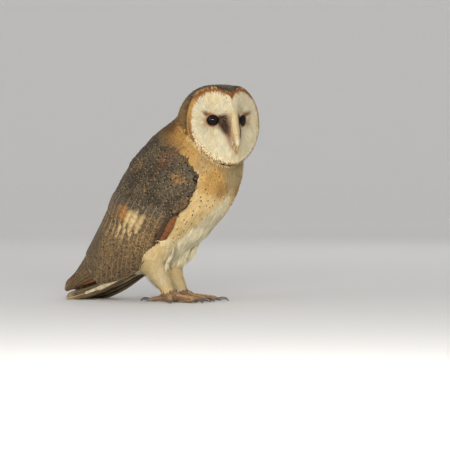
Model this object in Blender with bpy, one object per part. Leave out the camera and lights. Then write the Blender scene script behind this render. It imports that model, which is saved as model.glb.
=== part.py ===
"""A barn owl at life size, standing on a level floor with its wings folded and its head turned to its right.

Sizes are in millimetres, and MM turns them into Blender's metres. Places are given the way the owl sees
them: forward of the feet, to its right, and up from the floor. In the scene the owl faces -Y and its right
is -X. The trunk and the folded wings share one system of coordinates: s runs along the axis of the body
from the wing tips to the head, and an angle runs round it from the back (0) past the side (90) to the
breast (180).
"""

import math

import bmesh
import bpy
from mathutils import Matrix, Vector

MM = 0.001
GAP = 0.35  # between neighbouring solids

# Stations of the body's axis, from the wing tips to the middle of the head:
# forward, up, and the body's reach from the axis to its back, its front and its side.
BODY_STATIONS = (
    (-150, 9, 5, 4, 8),
    (-127, 20, 12, 12, 18),
    (-102, 35, 22, 22, 30),
    (-75, 54, 34, 32, 42),
    (-43, 79, 53, 44, 52),
    (-4, 125, 60, 55, 56),
    (21, 158, 55, 48, 49),
    (34, 187, 43, 22, 36),
    (38, 211, 28, 4, 20),
)
TRUNK_FROM, TRUNK_TO, NECK_TO = 2.45, 5.75, 7.9  # along s
TRUNK_SLICES, NECK_SLICES, AROUND = 17, 10, 32
BREAST_FURROW = 1.5  # how far the breast dips along its middle

# The folded wing: along s, the angle of its middle line and half its width in degrees.
WING_STATIONS = (
    (0.0, 50, 30),
    (1.0, 57, 48),
    (2.0, 65, 59),
    (3.0, 71, 65),
    (4.0, 70, 63),
    (4.3, 68, 60),
    (4.55, 66, 54),
    (4.9, 81, 52),
    (5.4, 82, 46),
    (6.0, 88, 42),
)
WING_TIP, WING_BEND = 0.0, 6.05
PRIMARIES_TO, SECONDARIES_TO = 1.75, 3.5  # where the coverts and the flight feathers are parted
WING_THICK, WING_TIP_THICK = 9.0, 2.4
WING_PROUD = 2.2  # how far the folded wing stands above the trunk
WING_CLEARANCE = 2.1  # under the wing, over what its facets need
WING_EDGE_FADE = 17  # degrees past the wing's edges over which the trunk comes up to the body's outline
WING_ROWS = 8

HEAD_AT = (38, 0, 190.5)
HEAD_TURN, HEAD_PITCH = 31, 2  # degrees, to its right and upwards
SKULL_SIDE, SKULL_UP, SKULL_DOWN, SKULL_BACK = 45, 50, 42, 45
SKULL_GIRTH_AT = 6  # forward of the head's middle
DISC_SIDE, DISC_UP, DISC_DOWN = 42.5, 45, 42.5
DISC_NOTCH = 6.5  # how deep the heart's notch is
LOBE_SQUARENESS = 0.8  # 1 makes the heart's two upper lobes round
DISC_MIDDLE, DISC_SLOPE = 40.0, 0.58  # forward, and how much the two halves turn outwards
DISC_HOLLOW = 7.6
RIDGE_HEIGHT, RIDGE_HALF = 5.6, 6.0  # the feathered ridge between the eyes
FACE_RINGS, SKULL_RINGS, HEAD_AROUND = 8, 9, 36

EYE_SIDE, EYE_UP, EYE_FORWARD = 19.5, 4.8, 27.2  # the front of the cornea
EYE_RADIUS, EYE_TURN = 8.6, 29

BILL_ROOT, BILL_TIP = (38, -9), (43.5, -32.5)  # forward, up in the head's frame
BILL_HALF_WIDTH, BILL_HALF_DEPTH, BILL_SWEEP = 4.0, 4.8, 4.4

TAIL_ROOT, TAIL_TIP = (-58, 35), (-146, 1.3)  # forward, up
TAIL_HALF_WIDTHS, TAIL_HALF_THICK = (15, 27), (6.5, 1.9)

LEG_STATIONS = {  # forward, right, up, radius: from inside the belly past the heel to the ankle
    "right": (
        (-14, 19, 88, 21),
        (-20, 22, 68, 22),
        (-26, 22, 50, 18.5),
        (-26, 19, 36, 13),
        (-20, 16.5, 24, 9.6),
        (-12, 14.5, 9, 6.4),
    ),
    "left": (
        (-12, -19, 88, 21),
        (-18, -21, 68, 21),
        (-26, -19, 50, 17),
        (-28, -17, 37, 12),
        (-23, -15.5, 25, 9.4),
        (-13, -14.5, 9, 6.4),
    ),
}
HEEL_AT = 0.5  # where along the leg the thigh is parted from the shank
LEG_AROUND = 18
FOOT_RADII = (11.5, 8.2, 7.2)  # forward, sideways, up
FOOT_FORWARD, FOOT_UP = 1.5, 5.4  # of the foot's middle
TOE_SPREAD = 0.225  # a toe's radius over its distance from the ankle, where the toes part
TOE_STARTS = 6.0  # inside the foot
CLAW_CLEARANCE = 1.7  # from the toe's end to the claw's root, which leans back a little
TOES = {  # direction in degrees outwards from straight ahead, length, radius at the root, length of the claw
    "inner": (-12, 28, 4.0, 14),
    "middle": (16, 33, 4.1, 14),
    "outer": (58, 26, 3.8, 12),
    "hind": (170, 17, 3.8, 12),
}
TOE_SLICES, TOE_AROUND = 7, 9

COLOURS = {  # red, green, blue and roughness
    "golden": (0.62, 0.42, 0.2, 0.8),
    "grey": (0.28, 0.26, 0.25, 0.8),
    "brown": (0.42, 0.33, 0.25, 0.8),
    "cream": (0.85, 0.76, 0.6, 0.85),
    "white": (0.9, 0.86, 0.76, 0.85),
    "eye": (0.01, 0.008, 0.008, 0.08),
    "bill": (0.78, 0.66, 0.55, 0.35),
    "toe": (0.55, 0.42, 0.36, 0.6),
    "claw": (0.2, 0.16, 0.14, 0.35),
}


def clear_scene():
    for thing in list(bpy.data.objects):
        bpy.data.objects.remove(thing)


def material(name):
    made = bpy.data.materials.get(name) or bpy.data.materials.new(name)
    made.use_nodes = True
    shader = made.node_tree.nodes["Principled BSDF"]
    red, green, blue, rough = COLOURS[name]
    shader.inputs["Base Color"].default_value = (red, green, blue, 1)
    shader.inputs["Roughness"].default_value = rough
    shader.inputs["Metallic"].default_value = 0
    return made


def owl(forward, right, up):
    """A point in millimetres, as the owl sees it, in the scene's metres."""
    return Vector((-right, -forward, up)) * MM


def smooth(x):
    x = min(1.0, max(0.0, x))
    return x * x * (3 - 2 * x)


def spline(rows, s):
    """The row at s of a smooth curve through rows, which lie at 0, 1, 2 and so on."""
    i = min(len(rows) - 2, max(0, int(s)))
    f = s - i
    before, a, b, after = (rows[min(len(rows) - 1, max(0, k))] for k in (i - 1, i, i + 1, i + 2))
    return [
        q + f * ((r - p) / 2 + f * (p - 2.5 * q + 2 * r - t / 2 + f * (1.5 * (q - r) + (t - p) / 2)))
        for p, q, r, t in zip(before, a, b, after)
    ]


def wing_span(s):
    """The angles of the wing's middle line and of half its width at s."""
    rows = WING_STATIONS
    for (s0, m0, w0), (s1, m1, w1) in zip(rows, rows[1:]):
        if s <= s1 or s1 == rows[-1][0]:
            f = min(1.0, max(0.0, (s - s0) / (s1 - s0)))
            f = f * 0.5 + smooth(f) * 0.5
            middle, half = m0 + (m1 - m0) * f, w0 + (w1 - w0) * f
            break
    end = max(0.0, (WING_BEND - s) / 0.55)
    return middle, half * math.sqrt(1 - (1 - min(1.0, end)) ** 2)


def wing_thickness(s, across):
    """The folded wing's thickness, across being -1 at its upper edge and 1 at its lower one."""
    full = WING_TIP_THICK + (WING_THICK - WING_TIP_THICK) * smooth(s / 4.5)
    end = math.sqrt(max(0.0, 1 - (1 - min(1.0, (WING_BEND - s) / 0.6)) ** 2)) if s < WING_BEND else 0
    return full * (0.22 + 0.78 * math.sqrt(max(0.0, 1 - across * across))) * end


def body_point(s, angle, right, lift=0.0):
    """A point of the body's surface at s and an angle in degrees, on the owl's right (1) or left (-1)."""
    forward, up, back, front, side = spline(BODY_STATIONS, s)
    ahead = spline(BODY_STATIONS, s + 0.02)
    behind = spline(BODY_STATIONS, s - 0.02)
    along = Vector((ahead[0] - behind[0], ahead[1] - behind[1])).normalized()
    dorsal = Vector((-along.y, along.x))
    c, n = math.cos(math.radians(angle)), math.sin(math.radians(angle))
    reach = back if c > 0 else front
    normal = Vector((c / reach, n / side)).normalized()
    out = c * reach + normal.x * lift
    if angle > 150:
        out += BREAST_FURROW * smooth((angle - 150) / 30) * smooth((s - 3.4) / 0.8)
    aside = n * side + normal.y * lift
    return owl(forward + dorsal.x * out, right * aside, up + dorsal.y * out)


def trunk_dip(s, angle):
    """How far the trunk lies below the body's outline to make room for a wing."""
    if s >= WING_BEND:
        return 0.0
    middle, half = wing_span(s)
    from_middle = abs(angle - middle)
    depth = wing_thickness(s, min(1.0, from_middle / half)) - WING_PROUD + WING_CLEARANCE
    return max(0.0, depth) * (1 - smooth((from_middle - half) / WING_EDGE_FADE))


def new_object(name, mesh_builder, colour, smooth_angle=50):
    built = bmesh.new()
    mesh_builder(built)
    bmesh.ops.remove_doubles(built, verts=built.verts, dist=0.02 * MM)
    bmesh.ops.recalc_face_normals(built, faces=built.faces)
    mesh = bpy.data.meshes.new(name)
    built.to_mesh(mesh)
    built.free()
    mesh.shade_smooth()
    mesh.set_sharp_from_angle(angle=math.radians(smooth_angle))
    mesh.materials.append(material(colour))
    made = bpy.data.objects.new(name, mesh)
    bpy.context.scene.collection.objects.link(made)
    return made


def loft(rings, pole_start=None, pole_end=None):
    """Builds a closed skin through rings of points, ending in a point or, without one, in a flat cap."""

    def build(mesh):
        made = [[mesh.verts.new(p) for p in ring] for ring in rings]
        for first, second in zip(made, made[1:]):
            count = len(first)
            for i in range(count):
                mesh.faces.new((first[i], first[(i + 1) % count], second[(i + 1) % count], second[i]))
        for ring, pole in ((made[0], pole_start), (made[-1], pole_end)):
            if pole is None:
                mesh.faces.new(ring)
                continue
            tip = mesh.verts.new(pole)
            for i in range(len(ring)):
                mesh.faces.new((ring[i], ring[(i + 1) % len(ring)], tip))

    return build


def round_rings(centres, radii, count, flat_floor=False, squash=1.0):
    """Rings of a round bar along a path, as points in metres. Radii are millimetres."""
    rings = []
    for i, (centre, radius) in enumerate(zip(centres, radii)):
        along = (centres[min(i + 1, len(centres) - 1)] - centres[max(i - 1, 0)]).normalized()
        aside = along.cross(Vector((0, 0, 1)))
        aside = aside.normalized() if aside.length > 1e-6 else Vector((1, 0, 0))
        over = aside.cross(along).normalized()
        ring = []
        for k in range(count):
            turn = math.tau * k / count
            p = centre + (aside * math.cos(turn) + over * math.sin(turn) * squash) * radius * MM
            if flat_floor:
                p.z = max(p.z, 0.0)
            ring.append(p)
        rings.append(ring)
    return rings


def cutter_of(solid, grow):
    """A hidden copy of a solid, grown outwards, that cuts its neighbours."""
    mesh = solid.data.copy()
    normals = [v.normal.copy() for v in mesh.vertices]
    for v, normal in zip(mesh.vertices, normals):
        v.co += normal * grow * MM
    made = bpy.data.objects.new(f"cutter_{solid.name}_{len(bpy.data.objects)}", mesh)
    bpy.context.scene.collection.objects.link(made)
    made.hide_render = True
    made.display_type = "WIRE"
    for modifier in solid.modifiers:
        own = made.modifiers.new(modifier.name, "BOOLEAN")
        own.operation = modifier.operation
        own.solver = "EXACT"
        own.object = modifier.object
    return made


def cut(target, *others, grow=GAP):
    for other in others:
        modifier = target.modifiers.new(f"clear_of_{other.name}", "BOOLEAN")
        modifier.operation = "DIFFERENCE"
        modifier.solver = "EXACT"
        modifier.object = cutter_of(other, grow)


def body_ring(s):
    angles = [360 * k / AROUND for k in range(AROUND)]
    ring = []
    for a in angles:
        right, angle = (1, a) if a <= 180 else (-1, 360 - a)
        ring.append(body_point(s, angle, right, -trunk_dip(s, angle)))
    return ring


def make_trunk():
    """From the rump to the base of the neck. Its rear end is drawn in to a blunt point over the tail."""
    stops = [TRUNK_FROM + (TRUNK_TO - TRUNK_FROM) * k / TRUNK_SLICES for k in range(TRUNK_SLICES + 1)]
    rings = []
    for k, s in enumerate(stops):
        ring = body_ring(s)
        closing = math.sqrt(1 - (1 - min(1.0, (k + 0.35) / 3.5)) ** 2)
        middle = sum(ring, Vector()) / len(ring)
        rings.append([middle + (p - middle) * closing for p in ring])
    return new_object("trunk", loft(rings), "cream")


def make_neck(head):
    start = TRUNK_TO + 0.012
    rings = [body_ring(start + (NECK_TO - start) * k / NECK_SLICES) for k in range(NECK_SLICES + 1)]
    neck = new_object("neck", loft(rings), "golden")
    cut(neck, head)
    return neck


def wing_part(name, right, s_from, s_to, slices, colour):
    """One length of a folded wing: a curved shell over the body's side, thinnest at its edges."""
    rings = []
    for k in range(slices + 1):
        s = s_from + (s_to - s_from) * k / slices
        middle, half = wing_span(s)
        outside, inside = [], []
        for j in range(WING_ROWS + 1):
            across = -math.cos(math.pi * j / WING_ROWS) * 0.985
            angle = middle + half * across
            thick = wing_thickness(s, across)
            outside.append(body_point(s, angle, right, WING_PROUD))
            inside.append(body_point(s, angle, right, WING_PROUD - thick))
        rings.append(outside + inside[::-1])
    return new_object(name, loft(rings), colour)


def make_wing(side, right):
    """The folded wing in three lengths: the primaries' tips, the secondaries and the coverts to the bend."""
    cut_width = 0.008
    last = WING_BEND - 0.012
    primaries = wing_part(f"primaries_{side}", right, WING_TIP, PRIMARIES_TO - cut_width, 6, "brown")
    secondaries = wing_part(
        f"secondaries_{side}", right, PRIMARIES_TO + cut_width, SECONDARIES_TO - cut_width, 6, "brown"
    )
    coverts = wing_part(f"wing_{side}", right, SECONDARIES_TO + cut_width, last, 10, "grey")
    return [primaries, secondaries, coverts]


def head_matrix():
    """From the head's frame (right, forward, up, in millimetres) to the scene."""
    forward, right, up = HEAD_AT
    place = Matrix.Translation(owl(forward, right, up))
    # Turning to the owl's right brings its face from -Y towards -X.
    turn = Matrix.Rotation(math.radians(-HEAD_TURN), 4, "Z")
    pitch = Matrix.Rotation(math.radians(-HEAD_PITCH), 4, "X")
    return place @ turn @ pitch


HEAD_MATRIX = head_matrix()


def in_head(right, forward, up):
    return HEAD_MATRIX @ owl(forward, right, up)


def disc_outline(turn):
    """The heart-shaped rim of the facial disc: turn is 0 at the top and goes to the owl's right."""
    right, up = math.sin(turn), math.cos(turn)
    notch = DISC_NOTCH * math.exp(-((turn_from_top(turn) / 0.36) ** 2))
    side = DISC_SIDE * (1 - 0.10 * smooth(-up)) * right
    return side, (DISC_UP * up**LOBE_SQUARENESS - notch) if up > 0 else DISC_DOWN * up


def turn_from_top(turn):
    return min(turn % math.tau, math.tau - turn % math.tau)


def face_forward(right, up):
    """How far the face lies in front of the head's middle: two hollow halves and the ridge between them."""
    side = abs(right)
    slope = DISC_SLOPE * (math.sqrt(side * side + 36) - 6)
    lean = -0.006 * max(0.0, up) ** 2 - 0.003 * min(0.0, up + 8) ** 2
    hollow = DISC_HOLLOW * math.exp(-(((side - 18) / 13) ** 2) - ((up - 3) / 19) ** 2)
    along = smooth((33 - up) / 26) * smooth((up + 21) / 11)
    height = RIDGE_HEIGHT * along * (1 + 0.16 * smooth((8 - up) / 18))
    half = RIDGE_HALF * (1 + 0.30 * smooth((2 - up) / 20))
    return DISC_MIDDLE - slope + lean - hollow + height * math.exp(-((side / half) ** 2))


def make_head():
    """The skull with its coat, flattened in front by the facial disc."""
    rings = []
    for ring_number in range(1, FACE_RINGS + 1):
        share = ring_number / FACE_RINGS
        ring = []
        for k in range(HEAD_AROUND):
            right, up = disc_outline(math.tau * k / HEAD_AROUND)
            right, up = right * share, up * share
            ring.append(in_head(right, face_forward(right, up), up))
        rings.append(ring)
    for ring_number in range(1, SKULL_RINGS):
        share = ring_number / SKULL_RINGS
        ring = []
        for k in range(HEAD_AROUND):
            turn = math.tau * k / HEAD_AROUND
            rim_right, rim_up = disc_outline(turn)
            back = math.radians(90 * share)
            reach = SKULL_UP if math.cos(turn) > 0 else SKULL_DOWN
            round_right = SKULL_SIDE * math.sin(turn) * math.cos(back)
            round_up = reach * math.cos(turn) * math.cos(back)
            round_forward = SKULL_GIRTH_AT - (SKULL_GIRTH_AT + SKULL_BACK) * math.sin(back)
            rim_forward = face_forward(rim_right, rim_up)
            f = smooth(share * 2.4)
            ring.append(
                in_head(
                    rim_right + (round_right - rim_right) * f,
                    rim_forward + (round_forward - rim_forward) * (0.25 * min(1, share * 2.4) + 0.75 * f),
                    rim_up + (round_up - rim_up) * f,
                )
            )
        rings.append(ring)
    face_middle = in_head(0, face_forward(0, 0), 0)
    nape = in_head(0, -SKULL_BACK, 0)
    return new_object("head", loft(rings, face_middle, nape), "white")


def make_eye(side, right):
    turn = math.radians(EYE_TURN)
    axis = Vector((math.sin(turn), math.cos(turn)))
    centre = (EYE_SIDE - axis.x * EYE_RADIUS, EYE_FORWARD - axis.y * EYE_RADIUS)
    rings = []
    for k in range(1, 7):
        back = math.pi * k / 7
        along, out = EYE_RADIUS * math.cos(back), EYE_RADIUS * math.sin(back)
        ring = []
        for j in range(16):
            roll = math.tau * j / 16
            aside, up = out * math.cos(roll), out * math.sin(roll)
            ring.append(
                in_head(
                    right * (centre[0] + axis.x * along + axis.y * aside),
                    centre[1] + axis.y * along - axis.x * aside,
                    EYE_UP + up,
                )
            )
        rings.append(ring)
    poles = [
        in_head(right * (centre[0] + axis.x * r), centre[1] + axis.y * r, EYE_UP)
        for r in (EYE_RADIUS, -EYE_RADIUS)
    ]
    return new_object(f"eye_{side}", loft(rings, *poles), "eye", 80)


def bill_rings(root, tip, sweep, half_width, half_depth, count, slices):
    """Rings of a hooked, tapering bill that bows forward by sweep between its root and its tip."""
    rings = []
    for k in range(slices + 1):
        f = k / slices
        bow = sweep * math.sin(math.pi * f) * (1 - 0.35 * f)
        forward = root[0] + (tip[0] - root[0]) * f + bow
        up = root[1] + (tip[1] - root[1]) * f + bow * 0.25
        taper = (1 - f) ** 0.62 * 0.93 + 0.07
        down = math.radians(35 + 55 * f)
        ring = []
        for j in range(count):
            roll = math.tau * j / count
            aside = half_width * taper * math.cos(roll)
            over = half_depth * taper * math.sin(roll)
            ring.append(in_head(aside, forward + over * math.sin(down), up + over * math.cos(down)))
        rings.append(ring)
    return rings


def make_bill(head):
    upper_rings = bill_rings(BILL_ROOT, BILL_TIP, BILL_SWEEP, BILL_HALF_WIDTH, BILL_HALF_DEPTH, 12, 8)
    upper = new_object("bill_upper", loft(upper_rings), "bill")
    lower_root, lower_tip = (BILL_ROOT[0] - 1, BILL_ROOT[1] - 14), (BILL_TIP[0] - 3.2, BILL_TIP[1] + 1.5)
    lower = new_object("bill_lower", loft(bill_rings(lower_root, lower_tip, 0.5, 3.0, 2.6, 10, 4)), "bill")
    cut(upper, head)
    cut(lower, head, upper)
    return upper, lower


def make_tail(*neighbours):
    """The closed tail: a thin wedge from under the rump down to the floor, a little rounded at its end."""
    rings, slices = [], 9
    for k in range(slices + 1):
        f = k / slices
        forward = TAIL_ROOT[0] + (TAIL_TIP[0] - TAIL_ROOT[0]) * f
        up = TAIL_ROOT[1] + (TAIL_TIP[1] - TAIL_ROOT[1]) * (f + 0.16 * math.sin(math.pi * f))
        width = TAIL_HALF_WIDTHS[0] + (TAIL_HALF_WIDTHS[1] - TAIL_HALF_WIDTHS[0]) * f
        thick = TAIL_HALF_THICK[0] + (TAIL_HALF_THICK[1] - TAIL_HALF_THICK[0]) * f**0.6
        ring = []
        for j in range(18):
            roll = math.tau * j / 18
            aside = width * math.cos(roll)
            crown = 3.0 * (1 - (aside / width) ** 2)
            round_off = 9.0 * f**3 * (aside / width) ** 2
            high = up + thick * math.sin(roll) + crown - 1.5
            ring.append(owl(forward + round_off, aside, max(high, 0.0)))
        rings.append(ring)
    tail = new_object("tail", loft(rings), "brown")
    cut(tail, *neighbours)
    return tail


def leg_rings(side):
    """Rings down the whole leg, and the number of the ring at the heel."""
    rows, slices = LEG_STATIONS[side], 12
    centres, radii = [], []
    for k in range(slices + 1):
        forward, right, up, radius = spline(rows, (len(rows) - 1) * k / slices)
        centres.append(owl(forward, right, up))
        radii.append(radius)
    return round_rings(centres, radii, LEG_AROUND), round(HEEL_AT * slices)


def make_leg(side, right, trunk, wings):
    """Thigh, shank, foot, four toes and their claws."""
    rows = LEG_STATIONS[side]
    ankle = rows[-1]
    foot_centre = owl(ankle[0] + FOOT_FORWARD, ankle[1], FOOT_UP)
    long_radius, side_radius, up_radius = FOOT_RADII
    sole = math.acos(-FOOT_UP / up_radius)  # where the foot meets the floor
    ball = []
    for k in range(1, 6):
        back = sole * k / 5
        ball.append(
            [
                foot_centre
                + owl(
                    long_radius * math.sin(back) * math.cos(math.tau * j / 16),
                    side_radius * math.sin(back) * math.sin(math.tau * j / 16),
                    up_radius * math.cos(back),
                )
                for j in range(16)
            ]
        )
    top = foot_centre + owl(0, 0, up_radius)
    foot = new_object(f"foot_{side}", loft(ball, top), "toe")
    rings, heel = leg_rings(side)
    thigh = new_object(f"thigh_{side}", loft(rings[: heel + 1]), "cream")
    cut(thigh, trunk, *wings)
    below = [(1 - GAP / 4) * a + GAP / 4 * b for a, b in zip(rings[heel], rings[heel + 1])]
    shank = new_object(f"shank_{side}", loft([below] + rings[heel + 1 :]), "white")
    cut(shank, foot, trunk)
    for toe, (turn, length, radius, claw) in TOES.items():
        make_toe(side, right, toe, turn, length, radius, claw, (foot, shank))


def make_toe(side, right, toe, turn, length, radius, claw, neighbours):
    """A toe lies flat on the floor, with two knuckles, and carries a hooked claw whose tip comes down."""
    ankle = LEG_STATIONS[side][-1]
    out = math.radians(turn) * right
    heading = owl(math.cos(out), math.sin(out), 0).normalized()
    root = owl(ankle[0], ankle[1], 0)
    centres, radii = [], []
    for k in range(TOE_SLICES + 1):
        f = k / TOE_SLICES
        size = radius * (1 - 0.26 * f) * (1 + 0.07 * math.sin(f * math.tau * 1.5))
        if k == TOE_SLICES:
            size *= 0.72
        along = TOE_STARTS + (length - 1) * f
        size = min(size, TOE_SPREAD * along + 0.2)
        arch = 2.2 * math.sin(math.pi * min(1.0, f * 1.3)) * (1 - f)
        centres.append(root + heading * along * MM + Vector((0, 0, (size * 0.86 + arch) * MM)))
        radii.append(size)
    rings = round_rings(centres, radii, TOE_AROUND, flat_floor=True)
    made = new_object(f"toe_{toe}_{side}", loft(rings), "toe")
    cut(made, *neighbours)
    start = centres[-1]
    reach, slices = claw, 5
    path, sizes = [], []
    for k in range(slices + 1):
        f = k / slices
        rise = 2.6 * math.sin(math.pi * min(1.0, f * 1.25) * 0.8)
        drop = (start.z / MM + 0.2 - 0.75) * f**2.4
        ahead = CLAW_CLEARANCE + reach * 0.86 * math.sin(f * 1.35) / math.sin(1.35)
        path.append(start + heading * ahead * MM)
        path[-1].z += (rise - drop - 2.6 * math.sin(math.pi * 0.8) * f) * MM
        sizes.append(2.0 * (1 - f) ** 0.75 + 0.32)
    new_object(f"claw_{toe}_{side}", loft(round_rings(path, sizes, 7, flat_floor=True)), "claw", 80)


def centre_over_origin():
    """Moves every object so that the middle of the owl's base lies at the origin."""
    bpy.context.view_layer.update()
    shown = [o for o in bpy.data.objects if o.type == "MESH" and not o.hide_render]
    corners = [v.co for o in shown for v in o.data.vertices]
    low = Vector((min(c.x for c in corners), min(c.y for c in corners), min(c.z for c in corners)))
    high = Vector((max(c.x for c in corners), max(c.y for c in corners), 0))
    shift = Vector((-(low.x + high.x) / 2, -(low.y + high.y) / 2, -low.z))
    for thing in bpy.data.objects:
        if thing.type == "MESH":
            thing.location = shift
    return shift


def main():
    clear_scene()
    head = make_head()
    make_bill(head)
    trunk = make_trunk()
    make_neck(head)
    for side, right in (("right", 1), ("left", -1)):
        cut(head, make_eye(side, right))
    wings = make_wing("right", 1) + make_wing("left", -1)
    make_tail(trunk, *wings)
    for side, right in (("right", 1), ("left", -1)):
        make_leg(side, right, trunk, [w for w in wings if w.name.endswith(side)])
    centre_over_origin()


main()
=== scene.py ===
import math

import bmesh
import bpy
import numpy as np
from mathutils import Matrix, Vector
from mathutils.bvhtree import BVHTree
from mathutils.kdtree import KDTree


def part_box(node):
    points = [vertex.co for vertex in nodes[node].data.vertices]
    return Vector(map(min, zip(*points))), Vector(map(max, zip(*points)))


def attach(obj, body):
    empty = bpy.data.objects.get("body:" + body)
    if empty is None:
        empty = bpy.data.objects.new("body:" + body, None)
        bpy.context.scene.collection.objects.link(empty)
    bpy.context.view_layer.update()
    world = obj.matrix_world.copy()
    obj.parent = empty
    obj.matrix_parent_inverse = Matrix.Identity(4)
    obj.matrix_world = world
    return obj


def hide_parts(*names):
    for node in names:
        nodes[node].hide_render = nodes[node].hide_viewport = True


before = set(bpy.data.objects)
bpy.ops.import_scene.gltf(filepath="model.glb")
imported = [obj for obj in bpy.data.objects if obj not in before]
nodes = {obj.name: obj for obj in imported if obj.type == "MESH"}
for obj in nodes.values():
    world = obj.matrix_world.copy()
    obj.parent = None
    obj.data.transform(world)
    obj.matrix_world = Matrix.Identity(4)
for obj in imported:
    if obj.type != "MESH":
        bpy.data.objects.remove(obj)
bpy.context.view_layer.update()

MM = 0.001
scene = bpy.context.scene


# ---------------------------------------------------------------- the studio
# A pale floor of paper, turned about the middle, sweeps up into a wall all round. Large soft lamps stand at
# the front, aside and behind, and two small ones make the sparks in the eyes. None of it is part of the owl.
def principled(name, roughness, **values):
    """A new material, its node tree and its shader. values are the shader's own sockets by name."""
    made = bpy.data.materials.new(name)
    made.use_nodes = True
    shader = made.node_tree.nodes["Principled BSDF"]
    shader.inputs["Roughness"].default_value = roughness
    for socket, value in values.items():
        shader.inputs[socket.replace("_", " ")].default_value = value
    return made, made.node_tree, shader


def shader_node(tree, kind, **values):
    """A new node with the settings and the sockets' values given by name."""
    made = tree.nodes.new(kind)
    for key, value in values.items():
        if hasattr(made, key):
            setattr(made, key, value)
        else:
            made.inputs[key.replace("_", " ")].default_value = value
    return made


def placed(name, data):
    """A new object that shows the data."""
    made = bpy.data.objects.new(name, data)
    scene.collection.objects.link(made)
    return made


def dressed(mesh, material):
    """Gives a mesh one material and smooth shading."""
    mesh.materials.clear()
    mesh.materials.append(material)
    mesh.shade_smooth()


def mesh_piece(name, points, faces, material):
    """A new smooth piece from points in metres and faces, with one material."""
    mesh = bpy.data.meshes.new(name)
    mesh.from_pydata([tuple(p) for p in points], [], [tuple(f) for f in faces])
    dressed(mesh, material)
    return placed(name, mesh)


def ring_faces(rings, around):
    """Four-sided faces between rings of corners that lie one after another."""
    faces = []
    for low in range(0, (rings - 1) * around, around):
        high = low + around
        for j in range(around):
            following = (j + 1) % around
            faces.append((low + j, high + j, high + following, low + following))
    return faces


def turned_stage():
    """The floor and its wall, turned from a profile of distance from the middle and height in metres."""
    flat, sweep, wall, around = 4.0, 2.5, 2.5, 64
    profile = [(0.02, 0.0), (flat * 0.3, 0.0), (flat, 0.0)]
    for k in range(1, 13):
        turn = math.radians(90 * k / 12)
        profile.append((flat + sweep * math.sin(turn), sweep - sweep * math.cos(turn)))
    profile.append((flat + sweep, sweep + wall))
    points = [
        (r * math.cos(math.tau * j / around), r * math.sin(math.tau * j / around), z)
        for r, z in profile
        for j in range(around)
    ]
    faces = [face[::-1] for face in ring_faces(len(profile), around)]
    faces.append(tuple(range(around))[::-1])
    paper, tree, shader = principled("studio_paper", roughness=0.9)
    where = shader_node(tree, "ShaderNodeTexCoord")
    away = shader_node(tree, "ShaderNodeVectorMath", operation="LENGTH")
    # painted light: the paper grows paler away from the middle, where the lamps light it less, so that floor
    # and wall look evenly lit
    painted_light = shader_node(tree, "ShaderNodeMapRange", interpolation_type="SMOOTHSTEP", To_Min=0.78, To_Max=0.95)
    painted_light.inputs["From Min"].default_value = 0.2
    painted_light.inputs["From Max"].default_value = 3.2
    tree.links.new(where.outputs["Object"], away.inputs[0])
    tree.links.new(away.outputs["Value"], painted_light.inputs["Value"])
    tree.links.new(painted_light.outputs["Result"], shader.inputs["Base Color"])
    return mesh_piece("studio_floor", points, faces, paper)


turned_stage()

VIEW_AZIMUTH, VIEW_ELEVATION, VIEW_DISTANCE = -60.0, 1.6, 3.2
PICTURE_WIDTH = 0.486  # of the plane through the owl, in metres
EYE_TO_STAND = 55.5 * MM
# the body's measures start from this point
STAND = Vector((0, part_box("eye_right")[0].y + EYE_TO_STAND, 0))


def view_axes(azimuth, elevation):
    """Back towards someone who looks at the owl from there, and to their right and up."""
    a, e = math.radians(azimuth), math.radians(elevation)
    back = Vector((math.sin(a) * math.cos(e), -math.cos(a) * math.cos(e), math.sin(e)))
    right = Vector((0, 0, 1)).cross(back).normalized()
    return back, right, back.cross(right)


LIT_POINT = Vector((0, 0, 120 * MM))


def lamp(name, turn, elevation, distance, size, power, colour=(1, 1, 1)):
    """A round soft lamp, by its turn in degrees from the camera's side, and its height in degrees."""
    back, _, _ = view_axes(VIEW_AZIMUTH + turn, elevation)
    data = bpy.data.lights.new(name, "AREA")
    data.shape = "DISK"
    data.size, data.energy, data.color = size, power, colour
    made = placed(name, data)
    made.location = LIT_POINT + back * distance
    made.rotation_euler = back.to_track_quat("Z", "Y").to_euler()
    return made


WARM = (1.0, 0.97, 0.92)
key = lamp("key_light", 4, 15, 1.7, 0.8, 15, WARM)
key.visible_glossy = False  # so that the eyes stay black
lamp("fill_light", -50, 12, 1.8, 1.2, 5, (1.0, 0.98, 0.95))
for turn in (-13, 13):
    spark = lamp(f"catch_light_{turn}", turn, 10, 1.7, 0.2, 20, WARM)
    spark.visible_diffuse = False
lamp("rim_light", 165, 35, 1.8, 1.2, 3)

sky = bpy.data.worlds.new("studio_air")
sky.use_nodes = True
sky.node_tree.nodes["Background"].inputs["Color"].default_value = (1.0, 0.985, 0.96, 1)
sky.node_tree.nodes["Background"].inputs["Strength"].default_value = 0.53
scene.world = sky
scene.view_settings.view_transform = "Standard"

camera_data = bpy.data.cameras.new("camera")
camera_data.sensor_width = 36.0
camera_data.lens = camera_data.sensor_width * VIEW_DISTANCE / PICTURE_WIDTH
camera_data.clip_end = 40
camera = placed("camera", camera_data)
scene.camera = camera
view_back, view_right, _ = view_axes(VIEW_AZIMUTH, VIEW_ELEVATION)
LOOKED_AT_ASIDE, LOOKED_AT_HEIGHT = 42 * MM, 82.8 * MM
looked_at = STAND + view_right * LOOKED_AT_ASIDE + Vector((0, 0, LOOKED_AT_HEIGHT))
camera.location = looked_at + view_back * VIEW_DISTANCE
camera.rotation_euler = view_back.to_track_quat("Z", "Y").to_euler()


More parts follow.
